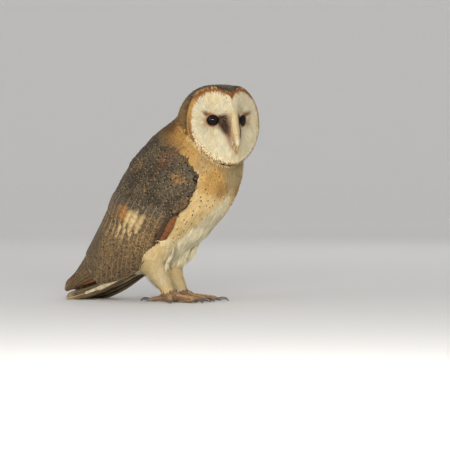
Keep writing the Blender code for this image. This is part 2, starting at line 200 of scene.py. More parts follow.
# ---------------------------------------------------------------- the body's form and its one skin
# The owl's skin and flesh, from the crown to the toes, is one piece with no seams. The flesh nodes are
# swollen a little, merged into one closed surface, smoothed and let down again: that is the form, the
# outside of the plumage. The skin is the form drawn in by the plumage's depth.
SIDES = {"right": -1, "left": 1}  # the sign of X
TOES = ("inner", "middle", "outer", "hind")
FLESH = ["head", "neck", "trunk"]
for side in SIDES:
    FLESH += [f"{part}_{side}" for part in ("wing", "thigh", "shank", "foot")]
    FLESH += [f"toe_{toe}_{side}" for toe in TOES]
QUILLED = [f"{part}_{side}" for side in SIDES for part in ("primaries", "secondaries")] + ["tail"]
SWELL, VOXEL, WELD = 1.5 * MM, 1.3 * MM, 0.02 * MM


def joined_nodes(names, swell=0.0):
    """One mesh of several nodes, each welded and moved out along its normals, and the node of each face."""
    joined, owner = bmesh.new(), []
    for number, name in enumerate(names):
        one = bmesh.new()
        one.from_mesh(nodes[name].data)
        bmesh.ops.remove_doubles(one, verts=one.verts, dist=WELD)
        bmesh.ops.recalc_face_normals(one, faces=one.faces)
        one.normal_update()
        for vertex in one.verts:
            vertex.co += vertex.normal * swell
        copied = bpy.data.meshes.new("copied")
        one.to_mesh(copied)
        joined.from_mesh(copied)
        owner += [number] * len(one.faces)
        one.free()
        bpy.data.meshes.remove(copied)
    return joined, owner


def array_of(collection, key="co"):
    """A mesh's corners, or another three-part value of them, as an array."""
    values = np.empty(len(collection) * 3, np.float32)
    collection.foreach_get(key, values)
    return values.reshape(-1, 3).astype(float)


def evaluated(piece, *modifiers):
    """A piece's mesh after the modifiers, each a type and a dictionary of its settings."""
    for kind, settings in modifiers:
        modifier = piece.modifiers.new(kind.lower(), kind)
        for key, value in settings.items():
            setattr(modifier, key, value)
    bpy.context.view_layer.update()
    mesh = bpy.data.meshes.new_from_object(piece.evaluated_get(bpy.context.evaluated_depsgraph_get()))
    piece.modifiers.clear()
    return mesh


def nodes_piece(name, names, swell=0.0):
    """A new piece in the joined shape of several nodes."""
    joined, _ = joined_nodes(names, swell)
    mesh = bpy.data.meshes.new(name)
    joined.to_mesh(mesh)
    joined.free()
    return placed(name, mesh)


skin = nodes_piece("skin", FLESH + ["eye_right", "eye_left"], SWELL)
skin.data = evaluated(
    skin,
    ("REMESH", {"mode": "VOXEL", "voxel_size": VOXEL}),
    ("SMOOTH", {"factor": 0.5, "iterations": 9}),
)
edges = np.empty(len(skin.data.edges) * 2, np.int32)
skin.data.edges.foreach_get("vertices", edges)
edges = edges.reshape(-1, 2)
neighbours = np.bincount(edges.ravel(), minlength=len(skin.data.vertices))


def relaxed(values, times, share=0.5):
    """Values at the form's corners, each drawn towards the mean of its neighbours."""
    values = np.array(values, float)
    columns = values.reshape(len(values), -1)
    for _ in range(times):
        for column in columns.T:
            total = np.bincount(edges[:, 0], column[edges[:, 1]], len(column))
            total += np.bincount(edges[:, 1], column[edges[:, 0]], len(column))
            column += (total / neighbours - column) * share
    return columns.reshape(values.shape)


form_points = array_of(skin.data.vertices) - array_of(skin.data.vertices, "normal") * SWELL
form_points = relaxed(form_points, 3)
cad, cad_owner = joined_nodes(FLESH)
cad_tree = BVHTree.FromBMesh(cad)
cad.free()

HEAD_TURN, HEAD_PITCH = math.radians(31), math.radians(2)
FORWARD = np.array((-math.sin(HEAD_TURN), -math.cos(HEAD_TURN), math.tan(HEAD_PITCH))) * math.cos(HEAD_PITCH)
RIGHT = np.array((-math.cos(HEAD_TURN), math.sin(HEAD_TURN), 0))
UPWARD = np.cross(FORWARD, -RIGHT)
EYES = {side: np.array(sum(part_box(f"eye_{side}"), Vector()) / 2) for side in SIDES}
EYE_RADIUS, EYE_SPLAY = 8.6, math.radians(29)
EYE_AXES = {
    side: FORWARD * math.cos(EYE_SPLAY) - sign * RIGHT * math.sin(EYE_SPLAY) for side, sign in SIDES.items()
}
EYE_ASIDE, EYE_AHEAD, EYE_UP = 20.5, 19.7, 4.8  # from the head's middle
HEAD_MIDDLE = (EYES["right"] + EYES["left"]) / 2 - (FORWARD * EYE_AHEAD + UPWARD * EYE_UP) * MM


def in_body(points):
    """Forward of the feet, out from the middle and up, in millimetres, of points in metres."""
    p = np.asarray(points, float) / MM
    return np.stack([STAND.y / MM - p[:, 1], np.abs(p[:, 0]), p[:, 2]], 1)


def in_head(points):
    """To the head's right, forward and up of its middle, in millimetres, of points in metres."""
    p = (np.asarray(points, float) - HEAD_MIDDLE) / MM
    return np.stack([p @ RIGHT, p @ FORWARD, p @ UPWARD], 1)


OPENING_DROP, OPENING_FLATNESS = 0.8, 0.14  # the lids' opening against the ball


def off_eye(points):
    """Millimetres by which points lie off the middle of the nearer eye's opening, seen along its axis."""
    reaches = []
    for side in SIDES:
        away = (np.asarray(points) - EYES[side]) / MM + OPENING_DROP * UPWARD
        away -= np.outer(away @ EYE_AXES[side], EYE_AXES[side])
        reaches.append(np.linalg.norm(away + OPENING_FLATNESS * np.outer(away @ UPWARD, UPWARD), axis=1))
    return np.minimum(*reaches)


def ease(x):
    """0 below 0 and 1 above 1, with a soft rise between."""
    x = np.clip(x, 0, 1)
    return x * x * (3 - 2 * x)


# the ridge between the eyes is broad and low over the brow, and only sharpens towards the bill
r, f, u = in_head(form_points).T
brow_share = ease((12 - np.abs(r)) / 7) * ease((u + 4) / 10) * ease((44 - u) / 8) * ease((f - 12) / 6)
form_points += (relaxed(form_points, 110) - form_points) * brow_share[:, None]
skin.data.vertices.foreach_set("co", form_points.ravel().astype(np.float32))
skin.data.update()


def tree_of(*meshes):
    """A tree that finds the nearest place on the meshes."""
    gathered = bmesh.new()
    for mesh in meshes:
        gathered.from_mesh(mesh)
    tree = BVHTree.FromBMesh(gathered)
    gathered.free()
    return tree


form_tree = tree_of(skin.data)
form_mesh = skin.data.copy()


def owners_of(points):
    """For each point, the number in FLESH of the node that it lies on."""
    return np.array([cad_owner[cad_tree.find_nearest(Vector(p))[2]] for p in points])


def heart(turn):
    """The heart-shaped rim of the facial disc: turn is 0 at the top and goes to the owl's right."""
    right, up = np.sin(turn), np.cos(turn)
    from_top = np.minimum(np.mod(turn, math.tau), math.tau - np.mod(turn, math.tau))
    notch = 6.5 * np.exp(-((from_top / 0.36) ** 2))
    side = 42.5 * (1 - 0.10 * ease(-up)) * right
    return side, np.where(up > 0, 45 * np.abs(up) ** 0.8 - notch, 42.5 * up)


RIM = np.stack(heart(np.linspace(0, math.tau, 361)), 1)
RIM_ANGLES, RIM_REACHES = np.unwrap(np.arctan2(RIM[:, 0], RIM[:, 1])), np.hypot(RIM[:, 0], RIM[:, 1])


def disc_share(r, u):
    """0 in the middle of the face and 1 on the heart's rim, for places r to the right and u up."""
    angle = np.mod(np.arctan2(r, u), math.tau)
    return np.hypot(r, u) / np.interp(angle, RIM_ANGLES, RIM_REACHES)


# The body's outline is kept by its axis: s runs along it from the wing tips to the head, and an angle runs
# round it from the back (0) past the side (90) to the breast (180). Both lay out the feathers' rows.
STATIONS = np.array(  # forward, up, and the reach to the back, to the front and aside
    (
        (-150, 9, 5, 4, 8),
        (-127, 20, 12, 12, 18),
        (-102, 35, 22, 22, 30),
        (-75, 54, 34, 32, 42),
        (-43, 79, 53, 44, 52),
        (-4, 125, 60, 55, 56),
        (21, 158, 55, 48, 49),
        (34, 187, 43, 22, 36),
        (38, 211, 28, 4, 20),
    ),
    float,
)
WING_EDGES = np.array(  # s, and the angles of the folded wing's upper and lower edge
    ((0, 20, 80), (1, 9, 105), (2, 6, 124), (3, 6, 136), (4, 7, 133), (4.3, 8, 128), (4.55, 12, 120))
    + ((4.9, 29, 133), (5.4, 36, 128), (5.65, 42, 127), (5.8, 50, 122), (5.95, 63, 112), (6.04, 80, 96)),
    float,
)


def wing_edges(s):
    """The angles of the folded wing's upper and lower edge at s."""
    return (np.interp(s, WING_EDGES[:, 0], WING_EDGES[:, k]) for k in (1, 2))


WING_PROUD = 2.2  # how far the folded wing stands out from the body's outline


def along_axis(s):
    """The axis's forward and up, and the body's reach to its back, front and side, at s."""
    s = np.clip(np.asarray(s, float), 0, len(STATIONS) - 1.001)
    i = s.astype(int)
    f = (s - i)[:, None]
    p, q, r, t = (STATIONS[np.clip(i + k, 0, len(STATIONS) - 1)] for k in (-1, 0, 1, 2))
    return q + f * ((r - p) / 2 + f * (p - 2.5 * q + 2 * r - t / 2 + f * (1.5 * (q - r) + (t - p) / 2)))


def on_body(s, angle, sign, lift):
    """Points on the body's outline, in metres. sign is -1 on the owl's right and 1 on its left."""
    s, angle = np.broadcast_arrays(np.asarray(s, float), np.asarray(angle, float))
    forward, up, back, front, wide = along_axis(s).T
    step = along_axis(s + 0.02) - along_axis(s - 0.02)
    along = step[:, :2] / np.linalg.norm(step[:, :2], axis=1)[:, None]
    c, n = np.cos(np.radians(angle)), np.sin(np.radians(angle))
    reach = np.where(c > 0, back, front)
    normal = np.stack([c / reach, n / wide], 1)
    normal /= np.linalg.norm(normal, axis=1)[:, None]
    out, aside = c * reach + normal[:, 0] * lift, n * wide + normal[:, 1] * lift
    places = [sign * aside, STAND.y / MM - forward + along[:, 1] * out, up + along[:, 0] * out]
    return np.stack(places, 1) * MM


grid_s, grid_angle = (g.ravel() for g in np.meshgrid(np.arange(0, 8, 0.05), np.arange(0, 181, 3)))
grid_tree = KDTree(len(grid_s))
for number, place in enumerate(in_body(on_body(grid_s, grid_angle, -1, 1.0))):
    grid_tree.insert(place, number)
grid_tree.balance()


def axis_place(points):
    """s and the angle of points near the body."""
    found = np.empty((len(points), 2))
    for number, place in enumerate(in_body(points)):
        near = grid_tree.find_n(place, 3)
        weights = [1 / (distance + 0.2) ** 2 for _, _, distance in near]
        total = sum(weights)
        found[number, 0] = sum(w * grid_s[n[1]] for w, n in zip(weights, near)) / total
        found[number, 1] = sum(w * grid_angle[n[1]] for w, n in zip(weights, near)) / total
    return found.T


TONES = {  # how each kind of feather looks, in sRGB
    "white": (224, 212, 178),
    "silk": (232, 219, 182),
    "cream": (229, 200, 142),
    "buff": (206, 172, 114),
    "beige": (176, 153, 108),
    "gold": (196, 152, 84),
    "deep_gold": (166, 118, 58),
    "olive": (90, 66, 32),
    "grey": (93, 80, 61),
    "slate": (64, 55, 42),
    "tan": (140, 108, 66),
    "rust": (140, 84, 38),
    "rufous": (112, 72, 42),
    "orange": (184, 124, 52),
    "brown": (120, 95, 60),
    "dark": (62, 46, 32),
    "eye_brown": (58, 36, 22),
    "lid": (192, 134, 90),
    "toe": (138, 106, 76),
    "scute": (186, 154, 116),
    "black": (30, 24, 20),
}


def tone(name):
    """A tone's linear colour."""
    c = np.array(TONES[name], float) / 255
    return np.where(c < 0.04045, c / 12.92, ((c + 0.055) / 1.055) ** 2.4)


def laid_over(colours, name, mask):
    """Covers the colours with a tone by the mask's share."""
    colours += (tone(name) - colours) * np.clip(mask, 0, 1)[:, None]


def waver(points, size, seed):
    """A smooth irregular value between about -1 and 1, with lumps of that size in millimetres."""
    p = np.asarray(points) / MM / size * 2.2
    a = np.sin(p[:, 0] * 1.3 + 2.1 * np.sin(p[:, 1] * 0.9 + seed) + seed)
    b = np.sin(p[:, 1] * 1.1 + 1.7 * np.sin(p[:, 2] * 1.2 + seed * 2.3) + 1.3)
    c = np.sin(p[:, 2] * 1.4 + 1.9 * np.sin(p[:, 0] * 0.8 - seed) + seed * 0.7)
    return (a + b + c) / 2.2


def patch(s, angle, middle_s, middle_angle, half_s, half_angle, soft=0.5):
    """1 inside a patch of the body's plumage and 0 outside, with a soft edge."""
    away = np.hypot((s - middle_s) / half_s, (angle - middle_angle) / half_angle)
    return ease((1 + soft - away) / (2 * soft))


WHITE_EDGE = ((0, 10, 22, 50, 80, 180), (0.715, 0.775, 0.845, 0.935, 0.98, 0.985))  # by degrees from the top


def face_place(head_points):
    """Degrees from the top of the face, and millimetres outside the white of the disc."""
    r, _, u = head_points.T
    turn = np.degrees(np.arctan2(np.abs(r), u))
    share = disc_share(r, u)
    reach = np.hypot(r, u) / np.maximum(share, 1e-6)
    return turn, (share - np.interp(turn, *WHITE_EDGE)) * reach


def covert_edge(angle):
    """The s at which the grey coverts end and the long feathers come out from under them."""
    return np.interp(
        angle,
        (20, 38, 62, 74, 86, 94, 102, 112, 125, 140),
        (4.0, 4.05, 4.25, 4.35, 4.35, 4.4, 4.55, 4.6, 4.62, 4.8),
    )


BELLY_EDGE = ((0, 4.0, 4.3, 4.65, 5.1, 5.4, 5.6, 5.85), (118, 142, 148, 153, 157, 164, 173, 205))  # by s


def belongs(names, *parts):
    """1 where a node's name starts with one of the parts' names, and 0 elsewhere."""
    return np.any([np.char.startswith(names.astype(str), part) for part in parts], axis=0) * 1.0


def plumage(points, owners):
    """The colour and the strength of the speckle of the plumage, for skin and feathers alike."""
    s, angle = axis_place(points)
    names = np.array(FLESH, object)[owners]
    head_points = in_head(points)
    r, f, u = head_points.T
    small, broad = waver(points, 5, 0.4), waver(points, 16, 1.9)
    angle = angle + 3.0 * small
    colours = np.tile(tone("cream"), (len(points), 1))
    speckle = np.full(len(points), 0.10)

    # breast, flanks and belly
    laid_over(colours, "buff", patch(s, angle, 5.0, 140, 0.6, 14) * 0.35)
    belly = ease((angle - np.interp(s, *BELLY_EDGE)) / 9)
    laid_over(colours, "silk", belly)
    laid_over(colours, "beige", ease((s - 5.5) / 0.3) * ease((angle - 128) / 12))
    laid_over(colours, "gold", patch(s, angle, 5.85, 143, 0.36, 17, 0.4) * 0.95)
    laid_over(colours, "deep_gold", patch(s, angle, 5.70, 162, 0.17, 10, 0.6) * 0.75)

    # neck and nape
    neck = ease((s - 5.88 - 0.1 * broad) / 0.14) * ease((142 - angle) / 14)
    laid_over(colours, "gold", neck)
    laid_over(colours, "beige", neck * ease((angle - 105) / 20) * 0.6)
    laid_over(colours, "deep_gold", neck * ease((90 + 6 * broad - angle) / 38) * 0.85)
    laid_over(colours, "olive", neck * ease((70 + 5 * broad - angle) / 30) * 0.85)
    laid_over(colours, "brown", neck * ease((6.5 - s) / 0.35) * ease((104 - angle) / 22) * 0.65)
    speckle += neck * 0.12 * ease((90 - angle) / 20)

    # mantle and folded wings
    upper, lower = wing_edges(s)
    back = ease((78 - angle) / 10) * ease((6.2 + 0.08 * small - s) / 0.22)
    mantle = np.maximum(belongs(names, "wing"), back * (angle < (upper + lower) / 2))
    laid_over(colours, "grey", mantle)
    laid_over(colours, "slate", mantle * ease(0.5 + 0.7 * broad) * 0.75)
    laid_over(colours, "slate", mantle * patch(s, angle, 5.2, 74, 0.3, 16, 0.6) * 0.5)
    laid_over(colours, "tan", mantle * ease((small * waver(points, 9, 4.0) - 0.30) / 0.4) * 0.45)
    for place, name, strength in (
        ((5.66, 80, 0.30, 7), "rufous", 0.5),
        ((5.50, 103, 0.13, 7), "tan", 0.9),
        ((5.08, 54, 0.10, 5), "tan", 0.8),
        ((4.85, 48, 0.12, 4), "tan", 0.5),
        ((5.05, 126, 0.22, 5), "tan", 0.5),
    ):
        laid_over(colours, name, mantle * patch(s, angle, *place) * strength)
    laid_over(colours, "brown", mantle * ease((s - 5.84) / 0.2) * 0.55)
    below = ease((covert_edge(angle) - s) / 0.06) * mantle
    laid_over(colours, "brown", below)
    laid_over(colours, "orange", mantle * patch(s, angle, 4.19, 75, 0.15, 6))
    laid_over(colours, "cream", mantle * patch(s + 0.03 * small, angle, 4.28, 90, 0.13, 7, 0.7) * 0.95)
    speckle = np.where(mantle > 0.5, 0.62, speckle)

    # thighs, shanks and feet
    leg, bare = belongs(names, "thigh", "shank"), belongs(names, "toe", "foot")
    laid_over(colours, "cream", leg)
    laid_over(colours, "white", leg * ease(0.5 + 0.5 * broad) * 0.6)
    laid_over(colours, "toe", bare)
    speckle = np.where(bare, 0.2, np.where(leg, 0.08, speckle))

    # head: crown, ruff, disc and the brown round the eyes
    turn, outside = face_place(head_points)
    of_head = belongs(names, "head")
    near_face = np.maximum(of_head, ease((6 - outside) / 3) * ease((f - 4) / 6))
    laid_over(colours, "olive", of_head)
    laid_over(colours, "gold", of_head * (0.5 + 0.25 * small) * ease((36 - u) / 22) * 0.6)
    crown = of_head * ease((u - 26 - 3 * broad) / 9)
    laid_over(colours, "grey", crown)
    laid_over(colours, "slate", crown * (0.5 + 0.5 * ease(0.5 + small)))
    speckle = np.where(of_head > 0.5, 0.2 + 0.5 * crown, speckle)
    top = ease((62 - turn) / 18)
    ruff = near_face * ease((f - 6) / 6)
    wide = 5.0 + 0.7 * top
    laid_over(colours, "gold", ruff * ease((wide - outside) / 1.2))
    under_face = ruff * ease((turn - 96) / 14) * ease((outside - 1.2) / 1.2) * ease((11 - outside) / 4)
    laid_over(colours, "cream", under_face * 0.8)
    laid_over(colours, "rust", ruff * top * ease((4.6 + small - outside) / 1.0))
    laid_over(colours, "deep_gold", ruff * ease((turn - 70) / 20) * ease((2.2 - outside) / 0.8))
    face = ease((0.4 + 0.5 * small - outside) / 0.8) * ease((f - 8) / 4)
    laid_over(colours, "white", face)
    laid_over(colours, "cream", face * ease(0.3 + 0.5 * broad) * 0.35)
    speckle = speckle * (1 - face) + 0.04 * face
    side = np.abs(r)
    laid_over(colours, "buff", face * ease((10 - side) / 6) * ease((18 - u) / 8) * ease((u + 16) / 8) * 0.65)
    streak_r = np.interp(u, (-25, -16, -7, 8), (3.2, 5.9, 9.0, 10.0))
    spread = np.interp(u, (-26, -14, -4, 8), (1.6, 2.3, 3.1, 2.8)) * np.where(side < streak_r, 1.3, 1.0)
    streak = np.exp(-(((side - streak_r) / spread) ** 2))
    streak = np.maximum(streak, ease((1.5 - np.hypot((side - 10.2) / 3.6, (u - 4.0) / 5.5)) / 1.0))
    streak *= ease((u + 30) / 8) * ease((12 - u) / 5)
    laid_over(colours, "rust", face * np.sqrt(streak) * 0.75)
    laid_over(colours, "eye_brown", face * streak * 1.35 * ease((u + 19) / 16))
    around = off_eye(points)
    outer = ease((side - 12) / 8 + 0.3 * ease(-u / 4))
    laid_over(colours, "rust", face * ease((13.0 + 1.5 * small - around) / 6) * (0.12 + 0.34 * outer))
    corner = np.hypot((side - 24.0) / 5.5, (u - 11.2 - 0.35 * (side - 24)) / 2.6)
    laid_over(colours, "rust", face * ease((1.5 - corner) / 0.9) * 0.8)
    laid_over(colours, "eye_brown", face * ease((1.1 - corner) / 0.9) * 0.5)
    laid_over(colours, "lid", face * ease((9.0 - around) / 1.2) * outer * 0.6)
    # the brown ring round the eye darkens towards the inner corner, the owl's own brown, and along the top,
    # painted shade under the brow
    inner = ease((12 - side) / 4 + ease(u / 5))
    laid_over(colours, "eye_brown", face * ease((8.4 - around) / 1.4) * (0.55 + 0.4 * inner))
    laid_over(colours, "black", face * ease((6.9 - around) / 0.5))
    return colours, speckle


def group_ends(group, takes, gives):
    """A node group's input and output, from the sockets' names and kinds."""
    for sockets, way in ((takes, "INPUT"), (gives, "OUTPUT")):
        for name, kind in sockets.items():
            group.interface.new_socket(name, in_out=way, socket_type=f"NodeSocket{kind}")
    return shader_node(group, "NodeGroupInput"), shader_node(group, "NodeGroupOutput")


def grained_group():
    """Mottling of a dyed tone: fine irregular flecks, and a slower drift between lighter and darker."""
    group = bpy.data.node_groups.new("feather_grain", "ShaderNodeTree")
    given, result = group_ends(
        group,
        {"Tone": "Color", "Speckle": "Float", "Size": "Float"},
        {"Colour": "Color", "Roughness": "Float", "Height": "Float"},
    )
    where = shader_node(group, "ShaderNodeTexCoord")
    spread = shader_node(group, "ShaderNodeMath", operation="DIVIDE")
    spread.inputs[0].default_value = 1.0
    flecks = shader_node(group, "ShaderNodeTexNoise", Detail=2.0, Roughness=0.65)
    drift = shader_node(group, "ShaderNodeTexNoise", Scale=170.0, Detail=1.0)
    link = group.links.new
    link(given.outputs["Size"], spread.inputs[1])
    link(spread.outputs[0], flecks.inputs["Scale"])
    for texture in (flecks, drift):
        link(where.outputs["Object"], texture.inputs["Vector"])
    sharp = shader_node(group, "ShaderNodeMapRange", From_Min=0.36, From_Max=0.64, To_Min=-1.0, To_Max=1.0)
    link(flecks.outputs["Fac"], sharp.inputs["Value"])
    slow = shader_node(group, "ShaderNodeMapRange", From_Min=0.3, From_Max=0.7, To_Min=0.93, To_Max=1.06)
    link(drift.outputs["Fac"], slow.inputs["Value"])
    strong = shader_node(group, "ShaderNodeMath", operation="MULTIPLY_ADD")
    strong.inputs[2].default_value = 1.0
    link(sharp.outputs["Result"], strong.inputs[0])
    link(given.outputs["Speckle"], strong.inputs[1])
    both = shader_node(group, "ShaderNodeMath", operation="MULTIPLY")
    link(strong.outputs[0], both.inputs[0])
    link(slow.outputs["Result"], both.inputs[1])
    dyed = shader_node(group, "ShaderNodeVectorMath", operation="SCALE")
    link(given.outputs["Tone"], dyed.inputs[0])
    link(both.outputs[0], dyed.inputs["Scale"])
    rough = shader_node(group, "ShaderNodeMapRange", To_Min=0.62, To_Max=0.82)
    link(flecks.outputs["Fac"], rough.inputs["Value"])
    link(dyed.outputs[0], result.inputs["Colour"])
    link(rough.outputs["Result"], result.inputs["Roughness"])
    link(flecks.outputs["Fac"], result.inputs["Height"])
    return group


FEATHER_GRAIN = grained_group()


def grained(tree, fleck_size):
    """The mottling of the tone and speckle in a mesh's own colour layer, with flecks of that size in mm."""
    layer = shader_node(tree, "ShaderNodeAttribute", attribute_name="tint")
    grain = shader_node(tree, "ShaderNodeGroup", node_tree=FEATHER_GRAIN)
    grain.inputs["Size"].default_value = fleck_size * MM * 2
    tree.links.new(layer.outputs["Color"], grain.inputs["Tone"])
    tree.links.new(layer.outputs["Alpha"], grain.inputs["Speckle"])
    return grain


def raised(tree, height, shader, strength, distance):
    """Gives a shader the relief of a height socket, as deep as distance in mm."""
    relief = shader_node(tree, "ShaderNodeBump", Strength=strength, Distance=distance * MM)
    tree.links.new(height, relief.inputs["Height"])
    tree.links.new(relief.outputs["Normal"], shader.inputs["Normal"])


def plumage_material(name, fleck_size, bump, sheen=0.05):
    """Feather or skin whose tone and speckle lie in the mesh's own colour layer. fleck_size is in mm."""
    made, tree, shader = principled(name, roughness=0.75, Sheen_Weight=sheen, Specular_IOR_Level=0.2)
    grain = grained(tree, fleck_size)
    tree.links.new(grain.outputs["Colour"], shader.inputs["Base Color"])
    tree.links.new(grain.outputs["Roughness"], shader.inputs["Roughness"])
    raised(tree, grain.outputs["Height"], shader, bump, 0.3)
    return made


def dye(mesh, colours, speckle):
    """Writes tones and speckle into a mesh's own colour layer."""
    layer = mesh.color_attributes.new("tint", "FLOAT_COLOR", "POINT")
    layer.data.foreach_set("color", np.column_stack([colours, speckle]).astype(np.float32).ravel())


# The coat is deepest on the body and thins out to nothing on the toes.
COAT_DEPTH = {"trunk": 3.0, "neck": 3.0, "wing": 2.4, "head": 2.2, "thigh": 2.2}
COAT_DEPTH |= {"shank": 1.4, "foot": 0, "toe": 0}
FACE_DEPTH = 0.9
form_owners = np.array(FLESH, object)[owners_of(form_points)]
form_heads = in_head(form_points)
form_outside = face_place(form_heads)[1]
depth = np.array([COAT_DEPTH[name.split("_")[0]] for name in form_owners], float)
depth[(form_outside < 1.5) & (form_heads[:, 1] > 8)] = FACE_DEPTH
depth = relaxed(depth, 10, 0.6)
skin_points = relaxed(form_points - array_of(skin.data.vertices, "normal") * depth[:, None] * MM, 3)

# Round each eye the skin is cut finer and drawn up to a lid: a soft fleshy rim that hugs the ball.
LID_OPENING, LID_WIDTH = math.radians(49), math.radians(19)
UPPER_LID, LOWER_LID = 0.40, 0.02  # the share of the opening that each lid covers
skin.data.vertices.foreach_set("co", skin_points.ravel().astype(np.float32))
lid_middles = [Vector(EYES[side] + EYE_AXES[side] * 6 * MM) for side in SIDES]
finer = bmesh.new()
finer.from_mesh(skin.data)
for reach in (15, 13):
    chosen = [
        edge
        for edge in finer.edges
        if any((edge.verts[0].co - middle).length < reach * MM for middle in lid_middles)
    ]
    bmesh.ops.subdivide_edges(finer, edges=chosen, cuts=1, use_grid_fill=True, smooth=0.0)
bmesh.ops.triangulate(finer, faces=[face for face in finer.faces if len(face.verts) > 4])
LID_REACH, LID_RISE = 22 * MM, 0.62
for vertex in finer.verts:
    for side in SIDES:
        away = np.array(vertex.co) - EYES[side]
        far = np.linalg.norm(away)
        if far > LID_REACH:
            continue
        off_axis = math.acos(max(-1, min(1, float(away @ EYE_AXES[side]) / far)))
        if off_axis > LID_OPENING + 2.2 * LID_WIDTH:
            continue
        up_share = float(away @ UPWARD) / far
        opening = LID_OPENING * (1 - UPPER_LID * max(0.0, up_share) - LOWER_LID * max(0.0, -up_share))
        past = (off_axis - opening) / LID_WIDTH
        rim = LID_RISE * math.exp(-(((past - 0.28) / 0.26) ** 2))
        lid = EYE_RADIUS * (0.94 + 0.075 * ease(past / 0.16 + 0.5)) + rim
        beyond = max(far / MM, EYE_RADIUS * 1.01)
        reached = lid + (beyond - lid) * ease((past - 0.45) / 1.5)
        vertex.co = Vector(EYES[side] + away / far * reached * MM)
finer.to_mesh(skin.data)
finer.free()


def unwrapped(piece):
    """Unwraps a piece's own shape into the map OFBake."""
    bpy.context.view_layer.objects.active = piece
    piece.select_set(True)
    bpy.ops.object.mode_set(mode="EDIT")
    bpy.ops.mesh.select_all(action="SELECT")
    bpy.ops.uv.smart_project(angle_limit=math.radians(70), island_margin=0.004)
    bpy.ops.object.mode_set(mode="OBJECT")
    piece.data.uv_layers[0].name = "OFBake"
    piece.select_set(False)


def finished(piece, slot, *replaced):
    """Hangs a piece on the root body and hides the nodes that it stands for. slot, its finish, is not used.
    """
    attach(piece, "root")
    if replaced:
        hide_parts(*replaced)


unwrapped(skin)
skin_points = array_of(skin.data.vertices)
dye(skin.data, *plumage(skin_points, owners_of(skin_points)))
dressed(skin.data, plumage_material("plumage_skin", 0.9, 0.3, 0.0))
finished(skin, "plumage_cream", *FLESH)


# ---------------------------------------------------------------- the body's small feathers
# Contour feathers are thin rounded vanes on a middle shaft. They overlap like shingles with their free ends
# towards the tail, and grow from rows round the body, so that each row covers the roots of the next.
random = np.random.default_rng(20)
skin_tree = tree_of(skin.data)
starts = np.empty(len(skin.data.polygons), np.int32)
skin.data.polygons.foreach_get("loop_start", starts)
loop_uvs = np.empty(len(skin.data.loops) * 2, np.float32)
skin.data.uv_layers["OFBake"].data.foreach_get("uv", loop_uvs)
loop_uvs = loop_uvs.reshape(-1, 2)
face_uvs = np.add.reduceat(loop_uvs, starts) / np.diff(np.append(starts, len(loop_uvs)))[:, None]
UV_PATCH = 0.003  # of the map's side, for each feather
LEAST_HEIGHT = 0.15 * MM  # over the floor
PIECE_TRIANGLES = 195_000  # of one coat piece at most


def unit(vectors):
    """The vectors, each drawn out or in to a length of 1."""
    return vectors / (np.linalg.norm(vectors, axis=-1)[..., None] + 1e-12)


def laid_paths(roots, lies, lengths, stations, cling=0.45, tree=form_tree):
    """Each feather's middle line from its root along its lie over the form, and the form's normals.
    Where the surface turns away faster than cling allows, the feather runs straight on."""
    count = len(roots)
    points, ups = np.empty((count, stations, 3)), np.empty((count, stations, 3))
    for k in range(count):
        at, up, _, _ = tree.find_nearest(Vector(roots[k]))
        lie, step = Vector(lies[k]), float(lengths[k]) / (stations - 1) * MM
        for j in range(stations):
            points[k, j], ups[k, j] = at, up
            lie = (lie - up * lie.dot(up)).normalized()
            reached = at + lie * step
            near, near_up, _, away = tree.find_nearest(reached)
            if away > cling * step and (reached - near).dot(near_up) > 0:
                near = near.lerp(reached, 1 - cling * step / away)
                near_up = up.lerp(near_up, 0.3).normalized()
            at, up = near, near_up
    return points, ups


def flat_mesh(name, points, quads, triangles):
    """A mesh straight from arrays of points, four-sided faces and three-sided faces."""
    mesh = bpy.data.meshes.new(name)
    mesh.vertices.add(len(points))
    mesh.vertices.foreach_set("co", points.astype(np.float32).ravel())
    loops = np.concatenate([quads.ravel(), triangles.ravel()]).astype(np.int32)
    mesh.loops.add(len(loops))
    mesh.loops.foreach_set("vertex_index", loops)
    sizes = np.concatenate([np.full(len(quads), 4), np.full(len(triangles), 3)])
    mesh.polygons.add(len(sizes))
    mesh.polygons.foreach_set("loop_start", np.concatenate([[0], np.cumsum(sizes)[:-1]]).astype(np.int32))
    mesh.update(calc_edges=True)
    return mesh, loops


